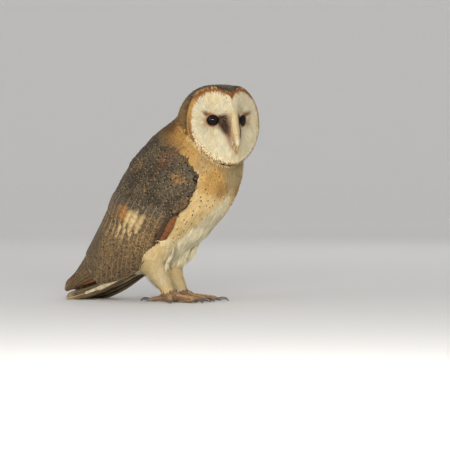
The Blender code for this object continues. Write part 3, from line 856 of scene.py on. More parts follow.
def coat_piece(name, slot, material, rings, colours, speckle, vane=None, normals=None):
    """Many closed feathers as one piece. rings holds each feather's corners by station and place round the
    section; each feather's map is a small patch at the place where its root stands on the skin. Given
    normals soften the feathers' shading, as loose barbs do."""
    rings[..., 2] = np.maximum(rings[..., 2], LEAST_HEIGHT)
    count, stations, around, _ = rings.shape
    base = (np.arange(count)[:, None] * stations + np.arange(stations)) * around
    a, b = base[:, :-1].ravel()[:, None], base[:, 1:].ravel()[:, None]
    j = np.arange(around)
    following = (j + 1) % around
    quads = np.stack([a + j, a + following, b + following, b + j], 2).reshape(-1, 4)
    fan = np.stack([np.zeros(around - 2, int), j[2:], j[1:-1]], 1)
    caps = (base[:, 0][:, None, None] + fan[None], base[:, -1][:, None, None] + fan[None, :, ::-1])
    triangles = np.concatenate([cap.reshape(-1, 3) for cap in caps])
    mesh, loops = flat_mesh(name, rings.reshape(-1, 3), quads, triangles)
    colours = np.broadcast_to(colours, rings.shape).reshape(-1, 3)
    speckle = np.broadcast_to(speckle, rings.shape[:3]).ravel()
    dye(mesh, np.clip(colours, 0, 1), speckle)
    if vane is not None:
        layer = mesh.attributes.new("vane", "FLOAT_VECTOR", "POINT")
        layer.data.foreach_set("vector", vane.astype(np.float32).ravel())
    uvs = np.array([face_uvs[skin_tree.find_nearest(Vector(p))[2]] for p in rings[:, 0].mean(1)])
    spread = np.stack(
        [
            np.broadcast_to(np.cos(math.tau * j / around) * 0.5, (stations, around)),
            np.broadcast_to(np.linspace(-0.5, 0.5, stations)[:, None], (stations, around)),
        ],
        2,
    )
    patches = uvs[:, None, None] + spread[None] * UV_PATCH
    layer = mesh.uv_layers.new(name="OFBake")
    layer.data.foreach_set("uv", patches.reshape(-1, 2)[loops].astype(np.float32).ravel())
    dressed(mesh, material)
    if normals is not None:
        mesh.normals_split_custom_set_from_vertices(normals.reshape(-1, 3).astype(np.float32))
    finished(placed(name, mesh), slot)


def small_feathers(
    name, slot, material, paths, widths, outline, rise, colours, speckle, thick=0.12, cup=0.06, lean=0.3
):
    """Small vanes with a three-cornered section. widths are in mm, outline is the share of the width at each
    station, rise the height over the form there, and colours hold one for each station."""
    points, ups = paths
    across = unit(np.cross(np.gradient(points, axis=1), ups))
    half = (np.reshape(widths, (-1, 1)) * outline / 2)[..., None] * MM
    rise = np.broadcast_to(rise, points.shape[:2])[..., None] * MM
    crest = points + ups * (rise + thick * MM)
    edge = points + ups * (rise - cup * half)
    rings = np.stack([edge - across * half, crest, edge + across * half], 2)
    normals = unit(np.stack([ups - across * lean, ups, ups + across * lean], 2))
    speckle = np.broadcast_to(np.reshape(speckle, (-1, 1, 1)), (len(points), 1, 1))
    feather_triangles = 6 * points.shape[1] - 4
    parts = math.ceil(len(points) / (PIECE_TRIANGLES // feather_triangles))
    for part in range(parts):
        cut = slice(part, None, parts)
        title = name if parts == 1 else f"{name}_{part + 1}"
        of_part = rings[cut], colours[cut, :, None], speckle[cut]
        coat_piece(title, slot, material, *of_part, normals=normals[cut])


def body_rows(s_range, apart):
    """Roots in staggered rows round both sides of the body, apart mm from each other: s, angle and side."""
    rows, s, odd = [], s_range[0], 0
    while s < s_range[1]:
        _, _, back, front, wide = along_axis(np.array([s]))[0]
        turn = math.degrees(apart / ((back + front) / 4 + wide / 2))
        angles = np.arange((odd + 0.5) * 0.5 * turn, 180, turn)
        for sign in (-1, 1):
            rows.append(np.stack([np.full(len(angles), s), angles, np.full(len(angles), sign)], 1))
        ahead = along_axis(np.array([s + 0.02]))[0, :2] - along_axis(np.array([s]))[0, :2]
        s += apart / (np.hypot(*ahead) / 0.02)
        odd = 1 - odd
    rows = np.concatenate(rows)
    rows[:, 0] += random.normal(0, 0.008 * apart, len(rows))
    rows[:, 1] += random.normal(0, 0.3 * apart, len(rows))
    return rows[(rows[:, 1] > 0) & (rows[:, 1] < 180)]


def wing_share(s, angle):
    """1 on the folded wing and 0 beside it."""
    upper, lower = wing_edges(s)
    return ((angle > upper) & (angle < lower) & (s < 6.04)) * 1.0


def settled(rows, reach=3.6):
    """The rows' roots on the form, and their lie towards the tail, without those under another part."""
    s, angle, sign = rows.T
    proud = WING_PROUD * wing_share(s, angle)
    here, behind = on_body(s, angle, sign, proud), on_body(s - 0.1, angle, sign, proud)
    found = [form_tree.find_nearest(Vector(place)) for place in here]
    kept = np.array([away < reach * MM for _, _, _, away in found])
    roots = np.array([place for place, _, _, _ in found])[kept]
    return rows[kept], roots, unit(behind[kept] - here[kept])


def feather_tones(points, drift, root_shade=0.14):
    """Colours for each station from the plumage at the feather's visible part, each a little different, and
    darker towards the root as painted shade.
    """
    seen = points[:, int(points.shape[1] * 0.6)]
    colours, speckle = plumage(seen, owners_of(seen))
    colours = colours * (1 + random.normal(0, drift, len(colours)))[:, None]
    # painted shade: each feather is darkened towards its root, where the feathers over it shade it
    shade = 1 - root_shade * (1 - np.linspace(0, 1, points.shape[1])) ** 1.5
    return np.clip(colours[:, None] * shade[None, :, None], 0, 1), speckle


FEATHER = plumage_material("plumage_feather", 0.55, 0.2)
MOTTLED = plumage_material("mottled_feather", 0.95, 0.2)
ROUNDED = np.array((0.5, 0.9, 1.0, 0.86, 0.4))
POINTED = np.array((0.6, 1.0, 0.9, 0.6, 0.12))

rows, roots, lies = settled(body_rows((2.3, 7.6), 2.4))
s, angle, _ = rows.T
on_wing = wing_share(s, angle) > 0.5
keep = ~(on_wing & (s < covert_edge(angle) - 0.12))
keep &= belongs(np.array(FLESH, object)[owners_of(roots)], "head", "thigh") < 1
keep &= ~((face_place(in_head(roots))[1] < 3) & (in_head(roots)[:, 1] > 0))
plume = ease((angle - 138) / 14) * ease((5.5 - s) / 0.5)  # the silky belly, against the firm rest
grey = (on_wing | (angle < 70)) & (s < 6.1)
for part, slot, material, drift, chosen in (
    ("mantle_feathers", "plumage_grey", MOTTLED, 0.16, keep & grey),
    ("breast_feathers", "plumage_cream", FEATHER, 0.06, keep & ~grey & (plume < 0.5)),
):
    a, b = s[chosen], angle[chosen]
    lengths = np.interp(a, (3, 4.5, 5.8, 6.4, 7.5), (13, 11.5, 10, 8, 6.5)) * random.normal(1, 0.07, len(a))
    widths = np.interp(a, (3, 5.8, 6.1, 6.4), (5.0, 4.6, 3.4, 2.6))
    paths = laid_paths(roots[chosen], lies[chosen] + random.normal(0, 0.045, (len(a), 3)), lengths, 5)
    colours, speckle = feather_tones(paths[0], drift)
    rise = np.array((-1.9, -1.3, -0.7, -0.2, 0.2)) + random.normal(0, 0.05, (len(a), 1))
    small_feathers(part, slot, material, paths, widths, ROUNDED, rise, colours, speckle)

# the belly's and the vent's plumes hang loose and narrow, in locks
chosen = keep & (plume >= 0.5)
roots, lies, s = roots[chosen], lies[chosen], s[chosen]
lock = np.stack([waver(roots, 7, 3.0), waver(roots, 6, 5.0), np.zeros(len(s))], 1)
hang = ease((4.9 - s) / 0.6)[:, None]
lies = lies * (1 - 0.35 * hang) + np.array((0, 0, -0.75)) * hang + 0.16 * lock
lies += random.normal(0, 0.05, (len(s), 3))
lengths = np.interp(s, (3, 4.0, 4.6, 5.5), (13, 19, 17, 12)) * random.normal(1, 0.12, len(s))
paths = laid_paths(roots, lies, lengths, 5, 0.22)
colours, speckle = feather_tones(paths[0], 0.06)
rise = np.array((-1.9, -1.2, -0.5, 0.1, 0.3)) + random.normal(0, 0.22, (len(s), 1))
widths = random.uniform(1.5, 2.6, len(s))
colours = colours * (1 + 0.10 * waver(roots, 4, 2.0))[:, None, None]
small_feathers(
    "belly_plumes", "plumage_white", FEATHER, paths, widths, POINTED, rise, colours, speckle, lean=0.6
)


# ---------------------------------------------------------------- the flight feathers
# Long stiff vanes on a strong pale shaft: the coverts over the wing's quills, the secondaries, which end in
# rounded pale-edged tips, the rusty barred primaries under them, and the tail's feathers.
def vane_group():
    """Marks along a long feather: pale shaft and rim, dark bars, and the fine slant of its barbs."""
    group = bpy.data.node_groups.new("feather_vane", "ShaderNodeTree")
    takes = {"Tone": "Color", "Shaft": "Color", "Rim": "Color"}
    takes |= {"Bars": "Float", "Bar Depth": "Float", "Shaft Share": "Float"}
    given, result = group_ends(group, takes, {"Colour": "Color", "Height": "Float"})
    link = group.links.new

    def sum_of(operation, first, second=None, third=None):
        made = shader_node(group, "ShaderNodeMath", operation=operation)
        for place, value in enumerate((first, second, third)):
            if isinstance(value, (int, float)):
                made.inputs[place].default_value = value
            elif value is not None:
                link(value, made.inputs[place])
        return made.outputs[0]

    def ramp(value, low, high):
        made = shader_node(group, "ShaderNodeMapRange", From_Min=low, From_Max=high)
        link(value, made.inputs["Value"])
        return made.outputs["Result"]

    def mixed(share, first, second):
        made = shader_node(group, "ShaderNodeMix", data_type="RGBA")
        link(share, made.inputs[0])
        link(first, made.inputs[6])
        link(second, made.inputs[7])
        return made.outputs[2]

    vane = shader_node(group, "ShaderNodeAttribute", attribute_name="vane")
    parts = shader_node(group, "ShaderNodeSeparateXYZ")
    link(vane.outputs["Vector"], parts.inputs[0])
    across, along, own = parts.outputs
    away = sum_of("ABSOLUTE", across)
    shaft = ramp(away, 0.10, 0.02)
    rim = sum_of("MAXIMUM", ramp(away, 0.80, 0.97), ramp(along, 0.955, 0.985))
    turn = sum_of("MULTIPLY_ADD", sum_of("MULTIPLY_ADD", away, 0.05, along), given.outputs["Bars"], own)
    bars = ramp(sum_of("SINE", sum_of("MULTIPLY", turn, math.tau)), 0.2, 0.8)
    darker = sum_of("SUBTRACT", 1.0, sum_of("MULTIPLY", bars, given.outputs["Bar Depth"]))
    barred = shader_node(group, "ShaderNodeVectorMath", operation="SCALE")
    link(given.outputs["Tone"], barred.inputs[0])
    link(darker, barred.inputs["Scale"])
    colour = mixed(sum_of("MULTIPLY", rim, 0.4), barred.outputs[0], given.outputs["Rim"])
    shaft_share = sum_of("MULTIPLY", shaft, given.outputs["Shaft Share"])
    link(mixed(shaft_share, colour, given.outputs["Shaft"]), result.inputs["Colour"])
    slant = sum_of("MULTIPLY_ADD", away, -11.0, sum_of("MULTIPLY", along, 120.0))
    barbs = sum_of("SINE", sum_of("MULTIPLY", slant, math.tau))
    link(sum_of("MULTIPLY_ADD", barbs, 0.25, shaft), result.inputs["Height"])
    return group


FEATHER_VANE = vane_group()


def quill_material(name, shaft, rim, bars, bar_depth, fleck_size, shaft_share):
    """A long feather's vane: bars along its length, their depth, and how plainly the shaft shows."""
    made, tree, shader = principled(name, roughness=0.62, Sheen_Weight=0.05, Specular_IOR_Level=0.3)
    grain = grained(tree, fleck_size)
    marks = shader_node(tree, "ShaderNodeGroup", node_tree=FEATHER_VANE)
    for socket, value in (
        ("Shaft", (*tone(shaft), 1)),
        ("Rim", (*tone(rim), 1)),
        ("Bars", bars),
        ("Bar Depth", bar_depth),
        ("Shaft Share", shaft_share),
    ):
        marks.inputs[socket].default_value = value
    tree.links.new(grain.outputs["Colour"], marks.inputs["Tone"])
    tree.links.new(marks.outputs["Colour"], shader.inputs["Base Color"])
    tree.links.new(grain.outputs["Roughness"], shader.inputs["Roughness"])
    raised(tree, marks.outputs["Height"], shader, 0.25, 0.15)
    return made


QUILL_STATIONS = 17
QUILL_SHARES = 1 - (1 - np.linspace(0, 1, QUILL_STATIONS)) ** 1.5  # closer together towards the tip
ACROSS = np.array((-1, -0.6, -0.1, 0, 0.1, 0.6, 1))
CAMBER = 0.12  # the rims' drop over half the width
ROUND_END = 0.6  # the rounded end's length over the width
SHAFT_HIGH, VANE_THICK = 0.28 * MM, 0.3 * MM


def quill_rings(paths, ups, widths, lead, root_share=0.5):
    """Closed sections of long feathers and their vane values. lead is the leading vane's share of the
    width, and root_share the width at the root over the full width."""
    count = len(paths)
    lengths = np.linalg.norm(np.diff(paths, axis=1), axis=2).sum(1) / MM
    t = QUILL_SHARES
    t0 = 1 - np.clip(ROUND_END * widths / lengths, 0, 0.6)[:, None]
    end = np.sqrt(np.clip(1 - np.clip((t - t0) / (1 - t0), 0, 0.998) ** 2, 0, 1))
    share = end * (root_share + (1 - root_share) * ease(t / 0.4))
    side = np.where(ACROSS < 0, lead, 1 - lead) * ACROSS
    across = unit(np.cross(np.gradient(paths, axis=1), ups))
    half = (widths[:, None] * share)[..., None] * side * MM
    drop = CAMBER * np.abs(half) * np.abs(ACROSS)
    crown = np.where(ACROSS == 0, SHAFT_HIGH, 0.0) * np.linspace(1, 0.4, QUILL_STATIONS)[:, None]
    top = paths[:, :, None] + across[:, :, None] * half[..., None]
    top += ups[:, :, None] * (crown - drop)[..., None]
    under = top[:, :, 5:0:-1] - ups[:, :, None] * VANE_THICK
    ring_across = np.concatenate([ACROSS, ACROSS[5:0:-1]])
    vane = np.empty((count, QUILL_STATIONS, len(ring_across), 3))
    vane[..., 0], vane[..., 1] = ring_across, t[:, None]
    vane[..., 2] = random.uniform(0, 1, (count, 1, 1))
    return np.concatenate([top, under], 2), vane


def over_body(courses, sign, lifts, dip):
    """Paths of long feathers on one side of the body. Each course is the s and angle of its root, middle and
    tip, lifts are the heights over the form at the tips, and dip is how much lower the roots lie."""
    courses = np.array(courses, float)
    t = QUILL_SHARES[None, :, None]
    root, middle, tip = courses[:, None, 0:2], courses[:, None, 2:4], courses[:, None, 4:6]
    bend = middle * 2 - (root + tip) / 2
    places = root * (1 - t) ** 2 + bend * 2 * t * (1 - t) + tip * t**2
    s, angle = places[..., 0].ravel(), places[..., 1].ravel()
    height = (np.reshape(lifts, (-1, 1)) - dip * (1 - ease(t[..., 0] / 0.45))).ravel()
    proud = WING_PROUD * np.interp(s, (0, 1), (0.7, 1))
    here, above = on_body(s, angle, sign, proud + height), on_body(s, angle, sign, proud + height + 1)
    shape = (len(courses), QUILL_STATIONS, 3)
    return here.reshape(shape), unit(above - here).reshape(shape)


# each feather's s and angle at its root, middle and tip
SECONDARIES = (
    (3.80, 62, 3.05, 88, 1.85, 142),
    (4.00, 68, 3.20, 95, 2.00, 146),
    (4.15, 76, 3.35, 101, 2.13, 152),
    (4.25, 84, 3.50, 106, 2.33, 154),
    (4.35, 92, 3.70, 110, 2.56, 154),
    (4.40, 97, 3.75, 114, 2.76, 155),
    (4.44, 101, 3.85, 117, 2.98, 154),
    (4.48, 104, 3.92, 120, 3.22, 151),
    (4.52, 108, 4.03, 122, 3.58, 143),
    (4.58, 112, 4.20, 121, 3.92, 130),
)
TERTIALS = (
    (4.15, 12, 3.20, 13, 2.35, 18),
    (4.15, 25, 3.20, 27, 2.20, 36),
    (4.10, 37, 3.15, 42, 2.00, 62),
    (3.95, 46, 3.05, 55, 2.05, 80),
    (3.88, 52, 2.95, 66, 1.95, 100),
    (3.82, 57, 2.95, 76, 1.90, 122),
)
PRIMARIES = tuple(
    (3.2 - 0.05 * k, 30 + 10 * k, 1.95, 22 + 10.6 * k, reach, 22 + 7 * k)
    for k, reach in enumerate((1.35, 1.1, 0.9, 0.7, 0.5, 0.35, 0.2, 0.08, 0.02, 0.3))
)
FRONT_STRIP = ((4.72, 122, 4.30, 127, 3.95, 131), (4.80, 127, 4.42, 132, 4.02, 135.5))
VERMICULATED = quill_material("feather_secondary", "buff", "cream", 7.0, 0.2, 1.0, 0.35)
BARRED = quill_material("feather_primary", "tan", "buff", 9.0, 0.3, 0.5, 0.3)


def toned(points, strength, *layers):
    """Tones of a long feather's corners: the plumage there, with further tones laid over it by share."""
    flat = points.reshape(-1, 3)
    wings = np.full(len(flat), FLESH.index("wing_right"))
    colours, _ = plumage(flat, wings)
    for name, share in layers:
        laid_over(colours, name, np.broadcast_to(share, points.shape[:3]).ravel())
    paleness = (colours.mean(1) / tone("brown").mean()).reshape(points.shape[:3])
    speckle = strength * np.clip(1.6 - 0.6 * paleness, 0.2, 1)
    return colours.reshape(points.shape), speckle


for side, sign in SIDES.items():
    along = QUILL_SHARES[None, :, None]
    order = np.arange(len(PRIMARIES))
    paths, ups = over_body(PRIMARIES, sign, 1.5 - 0.16 * order, 0.6)
    rings, vane = quill_rings(paths, ups, np.full(len(order), 13.0), 0.36)
    outer = (order / order[-1])[:, None, None]
    rusty = ease(outer * 4 - 3.1) * 0.8
    colours, speckle = toned(rings, 0.45, ("brown", 1), ("grey", 0.45 * (1 - outer**2)), ("rust", rusty))
    coat_piece(f"primary_feathers_{side}", "plumage_brown", BARRED, rings, colours, speckle, vane)

    order = np.arange(len(SECONDARIES))
    paths, ups = over_body(SECONDARIES, sign, 1.9 - 0.16 * order, 3.2)
    rings, vane = quill_rings(paths, ups, np.interp(order, (0, 6, 9), (14, 13, 11)), 0.42)
    pale = np.exp(-((vane[..., 0] / 0.35) ** 2)) * ease((0.42 - vane[..., 1]) / 0.2) * 0.8
    pale[[0, 1, 6, 7, 8, 9]] *= 0.15
    layers = (("tan", 0.35 * along), ("grey", 0.4 * ease(along * 2 - 1)), ("cream", pale))
    colours, speckle = toned(rings, 0.95, *layers)
    coat_piece(f"secondary_feathers_{side}", "plumage_brown", VERMICULATED, rings, colours, speckle, vane)

    paths, ups = over_body(TERTIALS, sign, 2.9 - 0.14 * np.arange(len(TERTIALS)), 4.2)
    rings, vane = quill_rings(paths, ups, np.array((13, 14, 14, 13, 12, 12)), 0.42)
    colours, speckle = toned(rings, 0.65, ("slate", 0.3), ("grey", 0.4 * along))
    coat_piece(f"tertial_feathers_{side}", "plumage_brown", VERMICULATED, rings, colours, speckle, vane)

    angles = np.linspace(16, 114, 13)
    edge = covert_edge(angles)
    courses = np.stack([edge + 0.3, angles - 3, edge - 0.03, angles + 1, edge - 0.38, angles + 6], 1)
    paths, ups = over_body(courses, sign, 1.0 - 0.05 * np.arange(len(angles)), 3.2)
    rings, vane = quill_rings(paths, ups, np.full(len(angles), 12.5), 0.45)
    pale = np.exp(-((vane[..., 0] / 0.3) ** 2)) * ease((vane[..., 1] - 0.4) / 0.2) * 0.7
    pale[(angles < 76) | (angles > 100)] = 0
    colours, speckle = toned(rings, 0.7, ("grey", 0.25), ("cream", pale))
    coat_piece(f"greater_coverts_{side}", "plumage_grey", VERMICULATED, rings, colours, speckle, vane)

    paths, ups = over_body(FRONT_STRIP, sign, (-0.2, -0.5), 0.8)
    rings, vane = quill_rings(paths, ups, np.array((9.0, 9.0)), 0.5)
    # painted shadow: the first strip is laid over with dark brown, a shadow line along the folded wing's
    # front edge; the second keeps the edge's own rust
    first = np.array((1, 0))[:, None, None]
    colours, speckle = toned(rings, 0.2, ("rust", 1.0), ("dark", first * 0.9))
    coat_piece(f"wing_front_strip_{side}", "plumage_brown", BARRED, rings, colours, speckle, vane)

# the pale edge of the left wing's innermost feathers shows behind the back
EDGE_COURSES = ((3.55, 16, 3.0, 10, 2.25, 7), (3.40, 12, 2.8, 7, 2.0, 5))
paths, ups = over_body(EDGE_COURSES, 1, (3.4, 3.9), 2.5)
rings, vane = quill_rings(paths, ups, np.array((7.0, 6.0)), 0.5)
colours, speckle = toned(rings, 0.3, ("beige", 0.8))
coat_piece("tertial_edges_left", "plumage_white", VERMICULATED, rings, colours, speckle, vane)

# the tail: dark feathers above, pale ones with brown edges under them
TAIL_ROOT, TAIL_TIP = (-58, 35), (-146, 1.3)  # forward, up


def tail_place(along, roll, lift):
    """Points round the closed tail: along it from 0 to 1, by a roll from its right edge over its top."""
    forward = TAIL_ROOT[0] + (TAIL_TIP[0] - TAIL_ROOT[0]) * along
    up = TAIL_ROOT[1] + (TAIL_TIP[1] - TAIL_ROOT[1]) * (along + 0.16 * np.sin(np.pi * along))
    wide = 15 + 12 * along + lift
    thick = 6.5 - 4.6 * np.clip(along, 0, 1) ** 0.6 + lift
    c, n = np.cos(roll), np.sin(roll)
    round_off = 9 * np.clip(along, 0, 1.1) ** 3 * c**2
    high = np.maximum(up + thick * n + 3 * (1 - c**2) - 1.5, 0.35 + 0.12 * lift)
    return np.stack([-wide * c, STAND.y / MM - forward - round_off, high], -1) * MM


TAIL_ROLLS = (
    ("upper", np.radians((12, 30, 48, 66, 80, 90, 100, 114, 132, 150, 168)), 0.7, 0.5, "plumage_brown"),
    ("under", np.radians((192, 212, 234, 258, 282, 306, 328, 348)), 0.35, 0.2, "plumage_white"),
)
TAIL_VANE = quill_material("feather_tail", "cream", "cream", 5.0, 0.3, 0.8, 0.6)
for part, rolls, lift, middle_lift, slot in TAIL_ROLLS:
    along = QUILL_SHARES[None, :, None] * 0.985 + 0.005
    middle = np.abs(np.degrees(rolls) % 180 - 90) / 90
    heights = (lift + middle_lift * (1 - middle))[:, None]
    reach = along[..., 0] * np.ones((len(rolls), 1))
    here, above = (tail_place(reach, rolls[:, None], height) for height in (heights, heights + 1))
    ups = unit(above - here + np.array((0, 0, 1e-6)))
    ups[np.abs(here[..., 2] - above[..., 2]) + np.abs(here[..., 0] - above[..., 0]) < 1e-7] = (0, 0, -1)
    rings, vane = quill_rings(here, ups, np.full(len(rolls), 10.5), 0.42, 0.7)
    colours = np.tile(tone("brown" if part == "upper" else "silk"), (rings.size // 3, 1))
    ends = np.broadcast_to(ease((along[..., None] - 0.8) / 0.2)[..., 0], rings.shape[:3]).ravel()
    if part == "upper":
        laid_over(colours, "dark", 0.3 * (1 - ends))
        laid_over(colours, "beige", ends * 0.6)
    else:
        beside = np.broadcast_to(np.abs(np.cos(rolls))[:, None, None], rings.shape[:3]).ravel()
        laid_over(colours, "brown", ease((beside - 0.35) / 0.4) * (1 - 0.7 * ends))
        laid_over(colours, "dark", ease((beside - 0.35) / 0.4) * (1 - ends) * 0.6)
    coat_piece(f"tail_feathers_{part}", slot, TAIL_VANE, rings, colours.reshape(rings.shape), 0.25, vane)

# two slim white feathers of the vent lie along each side of the tail
along = QUILL_SHARES[None, :]
start_and_length = np.array(((0.12, 0.55), (0.05, 0.42)) * 2)
reach = start_and_length[:, :1] + start_and_length[:, 1:] * along
rolls = np.radians(((10.0,), (-8.0,), (170.0,), (188.0,))) + 0 * reach
here, above = tail_place(reach, rolls, 2.6 - 1.2 * reach), tail_place(reach, rolls, 3.6 - 1.2 * reach)
rings, vane = quill_rings(here, unit(above - here), np.full(4, 3.4), 0.5, 0.6)
colours = np.broadcast_to(tone("silk") * 0.8, rings.shape)
coat_piece("vent_feathers", "plumage_white", TAIL_VANE, rings, colours, 0.1, vane)

# under the quills lies the folded wings' and the tail's own thickness, seen only between the feathers
CORE_SUNK = 0.9 * MM
quill_core = nodes_piece("quill_core", QUILLED, -CORE_SUNK)
unwrapped(quill_core)
count = len(quill_core.data.vertices)
colours = np.tile(tone("brown"), (count, 1))
laid_over(colours, "dark", np.full(count, 0.35))
dye(quill_core.data, colours, np.full(count, 0.3))
dressed(quill_core.data, FEATHER)
finished(quill_core, "plumage_brown", *QUILLED)


# ---------------------------------------------------------------- the head's feathers
# Small feathers cover crown and nape. The face is a dish of fine stiff filaments that fan out from the eyes,
# framed by a ruff of dense short feathers, whose lower rim is scalloped in white, gold and dark brown.
def scattered(wanted, apart, tries=3):
    """Places on the form where wanted, in random order, none nearer to another than apart millimetres."""
    corners = form_points[wanted]
    spots = np.concatenate([corners + random.normal(0, 0.5 * MM, corners.shape) for _ in range(tries)])
    cell = apart * MM
    least = cell * cell
    near = [(a, b, c) for a in (-1, 0, 1) for b in (-1, 0, 1) for c in (-1, 0, 1)]
    taken, kept = {}, []
    for k in random.permutation(len(spots)):
        x, y, z = spots[k]
        i, j, m = int(x // cell), int(y // cell), int(z // cell)
        others = (taken.get((i + a, j + b, m + c)) for a, b, c in near)
        if all(o is None or (o[0] - x) ** 2 + (o[1] - y) ** 2 + (o[2] - z) ** 2 > least for o in others):
            taken[i, j, m] = (x, y, z)
            kept.append(k)
    return np.array([form_tree.find_nearest(Vector(p))[0] for p in spots[kept]])


def over_head(shares):
    """Directions in the row's frame from pairs of shares to the head's right and up."""
    return shares[:, :1] * RIGHT + shares[:, 1:] * UPWARD


def spread_lies(roots, ahead, down=0.0):
    """Away from the middle of the face over the head's surface, in the row's frame."""
    r, _, u = in_head(roots).T
    return over_head(unit(np.stack([r, u], 1))) + ahead * FORWARD - down * UPWARD


def head_coat(name, slot, roots, lies, lengths, outline, rise, widths, **given):
    """Small feathers in the plumage's tones, with painted shade towards their roots. rise is their height at
    each station, and widths are the kind of draw for their widths and its two numbers."""
    paths = laid_paths(roots, lies, lengths, 4, given.get("cling", 0.45))
    colours, speckle = feather_tones(paths[0], given.get("drift", 0.08), given.get("root_shade", 0.14))
    rise = np.array(rise) + random.normal(0, given.get("loose", 0.06), (len(roots), 1))
    speckle *= given.get("speckled", 1.0)
    draw, first, second = widths
    widths, thick = draw(first, second, len(roots)), given.get("thick", 0.12)
    small_feathers(name, slot, FEATHER, paths, widths, outline, rise, colours, speckle, thick)


front = form_heads[:, 1] > 6

# crown, cheeks and nape
roots = scattered((form_owners == "head") & ((form_outside > 3.5) | ~front), 2.0)
lies = spread_lies(roots, -0.8, 0.25) + random.normal(0, 0.06, (len(roots), 3))
lengths = random.normal(6.5, 0.5, len(roots))
shape, rise, widths = (0.6, 1.0, 0.9, 0.4), (-1.5, -0.8, -0.2, 0.25), (random.normal, 2.6, 0.2)
head_coat("crown_feathers", "plumage_grey", roots, lies, lengths, shape, rise, widths)

# the ruff round the disc, standing a little proud
roots = scattered((form_outside > -1.0) & (form_outside < 5.5) & front & (form_heads[:, 1] > 10), 1.35)
lies = spread_lies(roots, 0.25) + random.normal(0, 0.05, (len(roots), 3))
lengths = random.normal(4.2, 0.3, len(roots))
shape, rise, widths = (0.7, 1.0, 0.9, 0.45), (-1.4, -0.6, 0.1, 0.6), (random.normal, 1.5, 0.15)
given = {"cling": 0.3, "drift": 0.09, "root_shade": 0.3, "speckled": 0.5}
head_coat("ruff_feathers", "plumage_golden", roots, lies, lengths, shape, rise, widths, **given)

# the disc's filaments
FILAMENTS_FROM = 8.8  # mm off the middle of the eye's opening
roots = scattered((form_outside < 0.6) & (form_heads[:, 1] > 8), 0.88, 5)
r, _, u = in_head(roots).T
bill_top = (np.abs(r) < 2.4) & (u < -14) & (u > -30)
roots = roots[(off_eye(roots) > FILAMENTS_FROM) & ~bill_top]
r, _, u = in_head(roots).T
side = np.where(r > 0, 1, -1)
from_eye = np.stack([r - side * EYE_ASIDE, u - EYE_UP], 1)
middle = ease((9 - np.abs(r)) / 7)[:, None]
along_ridge = np.stack([0.35 * side, np.where(u > 2, 1.0, -1.0)], 1)
away = unit(unit(from_eye) * (1 - middle) + along_ridge * middle)
lies = over_head(away) + random.normal(0, 0.06, (len(roots), 3))
lengths = np.interp(np.linalg.norm(from_eye, axis=1), (8, 14, 40), (4.0, 6.0, 8.0))
lengths *= random.normal(1, 0.1, len(roots))
to_ruff = np.maximum(0, 0.4 - face_place(in_head(roots))[1])
lengths = np.minimum(lengths, 2.4 + to_ruff)
shape, rise, widths = (0.7, 1.0, 0.8, 0.2), (-0.7, -0.2, 0.05, 0.2), (random.uniform, 0.45, 0.8)
given = {"cling": 0.35, "root_shade": 0.25, "loose": 0.07, "thick": 0.1}
head_coat("disc_filaments", "plumage_white", roots, lies, lengths, shape, rise, widths, **given)


# the scalloped rim: rounded white tips in rows, with golden and dark strokes between them, partly the rim's
# own colour and partly painted shadow between the tips
SCALLOP_SHAPE, STROKE_SHAPE = (0.6, 1.0, 0.95, 0.5), (0.4, 1.0, 0.9, 0.2)


def rim_places(turns, outside):
    """Places on the form a number of millimetres outside the white disc, by degrees from the top, signed."""
    radians = np.radians(turns)
    reach = np.interp(np.mod(radians, math.tau), RIM_ANGLES, RIM_REACHES)
    reach = reach * np.interp(np.abs(turns), *WHITE_EDGE) + outside
    shares = np.stack([np.sin(radians) * reach, np.cos(radians) * reach], 1)
    starts = HEAD_MIDDLE + (over_head(shares) + 60 * FORWARD) * MM
    found = [form_tree.ray_cast(Vector(p), Vector(-FORWARD))[0] for p in starts]
    kept = np.array([hit is not None for hit in found])
    return np.array([hit for hit in found if hit is not None]), kept


def rim_row(name, slot, turns, outside, length, width, colour_names, lift, skew=0.0, outline=SCALLOP_SHAPE):
    """One row along the rim. skew turns its feathers down along the rim, and each takes one tone."""
    roots, kept = rim_places(turns, outside)
    turns = turns[kept]
    along_rim = over_head(np.stack([np.cos(np.radians(turns)), -np.sin(np.radians(turns))], 1))
    lies = spread_lies(roots, 0.15) + skew * np.sign(turns)[:, None] * along_rim
    lies += random.normal(0, 0.1, lies.shape)
    paths = laid_paths(roots, lies, length * random.normal(1, 0.18, len(roots)), 4, 0.3)
    picked = random.integers(0, len(colour_names), len(roots))
    colours = np.array([tone(colour) for colour in colour_names])[picked]
    colours *= random.normal(1, 0.05, (len(roots), 1))
    rise = np.array((-0.7, -0.1, 0.4 * lift, lift)) + random.normal(0, 0.1, (len(roots), 1))
    widths = width * random.normal(1, 0.1, len(roots))
    small_feathers(name, slot, FEATHER, paths, widths, outline, rise, colours[:, None], 0.08, 0.16)


def turns_round(low, high, step):
    """Degrees from the top down both sides of the rim, a step apart, the left ones between the right ones."""
    one = np.arange(low, high, step)
    turns = np.concatenate([one, -one - step / 2])
    return turns + random.normal(0, step * 0.12, len(turns))


SCALLOP = ("white", "white", "silk", "cream")
for number, (low, outside) in enumerate(((112, -4.4), (104, -2.6), (116, -0.8))):
    turns = turns_round(low, 180, 2.1)
    rim_row(f"rim_white_{number + 1}", "plumage_white", turns, outside, 3.6, 2.1, SCALLOP, 0.55)
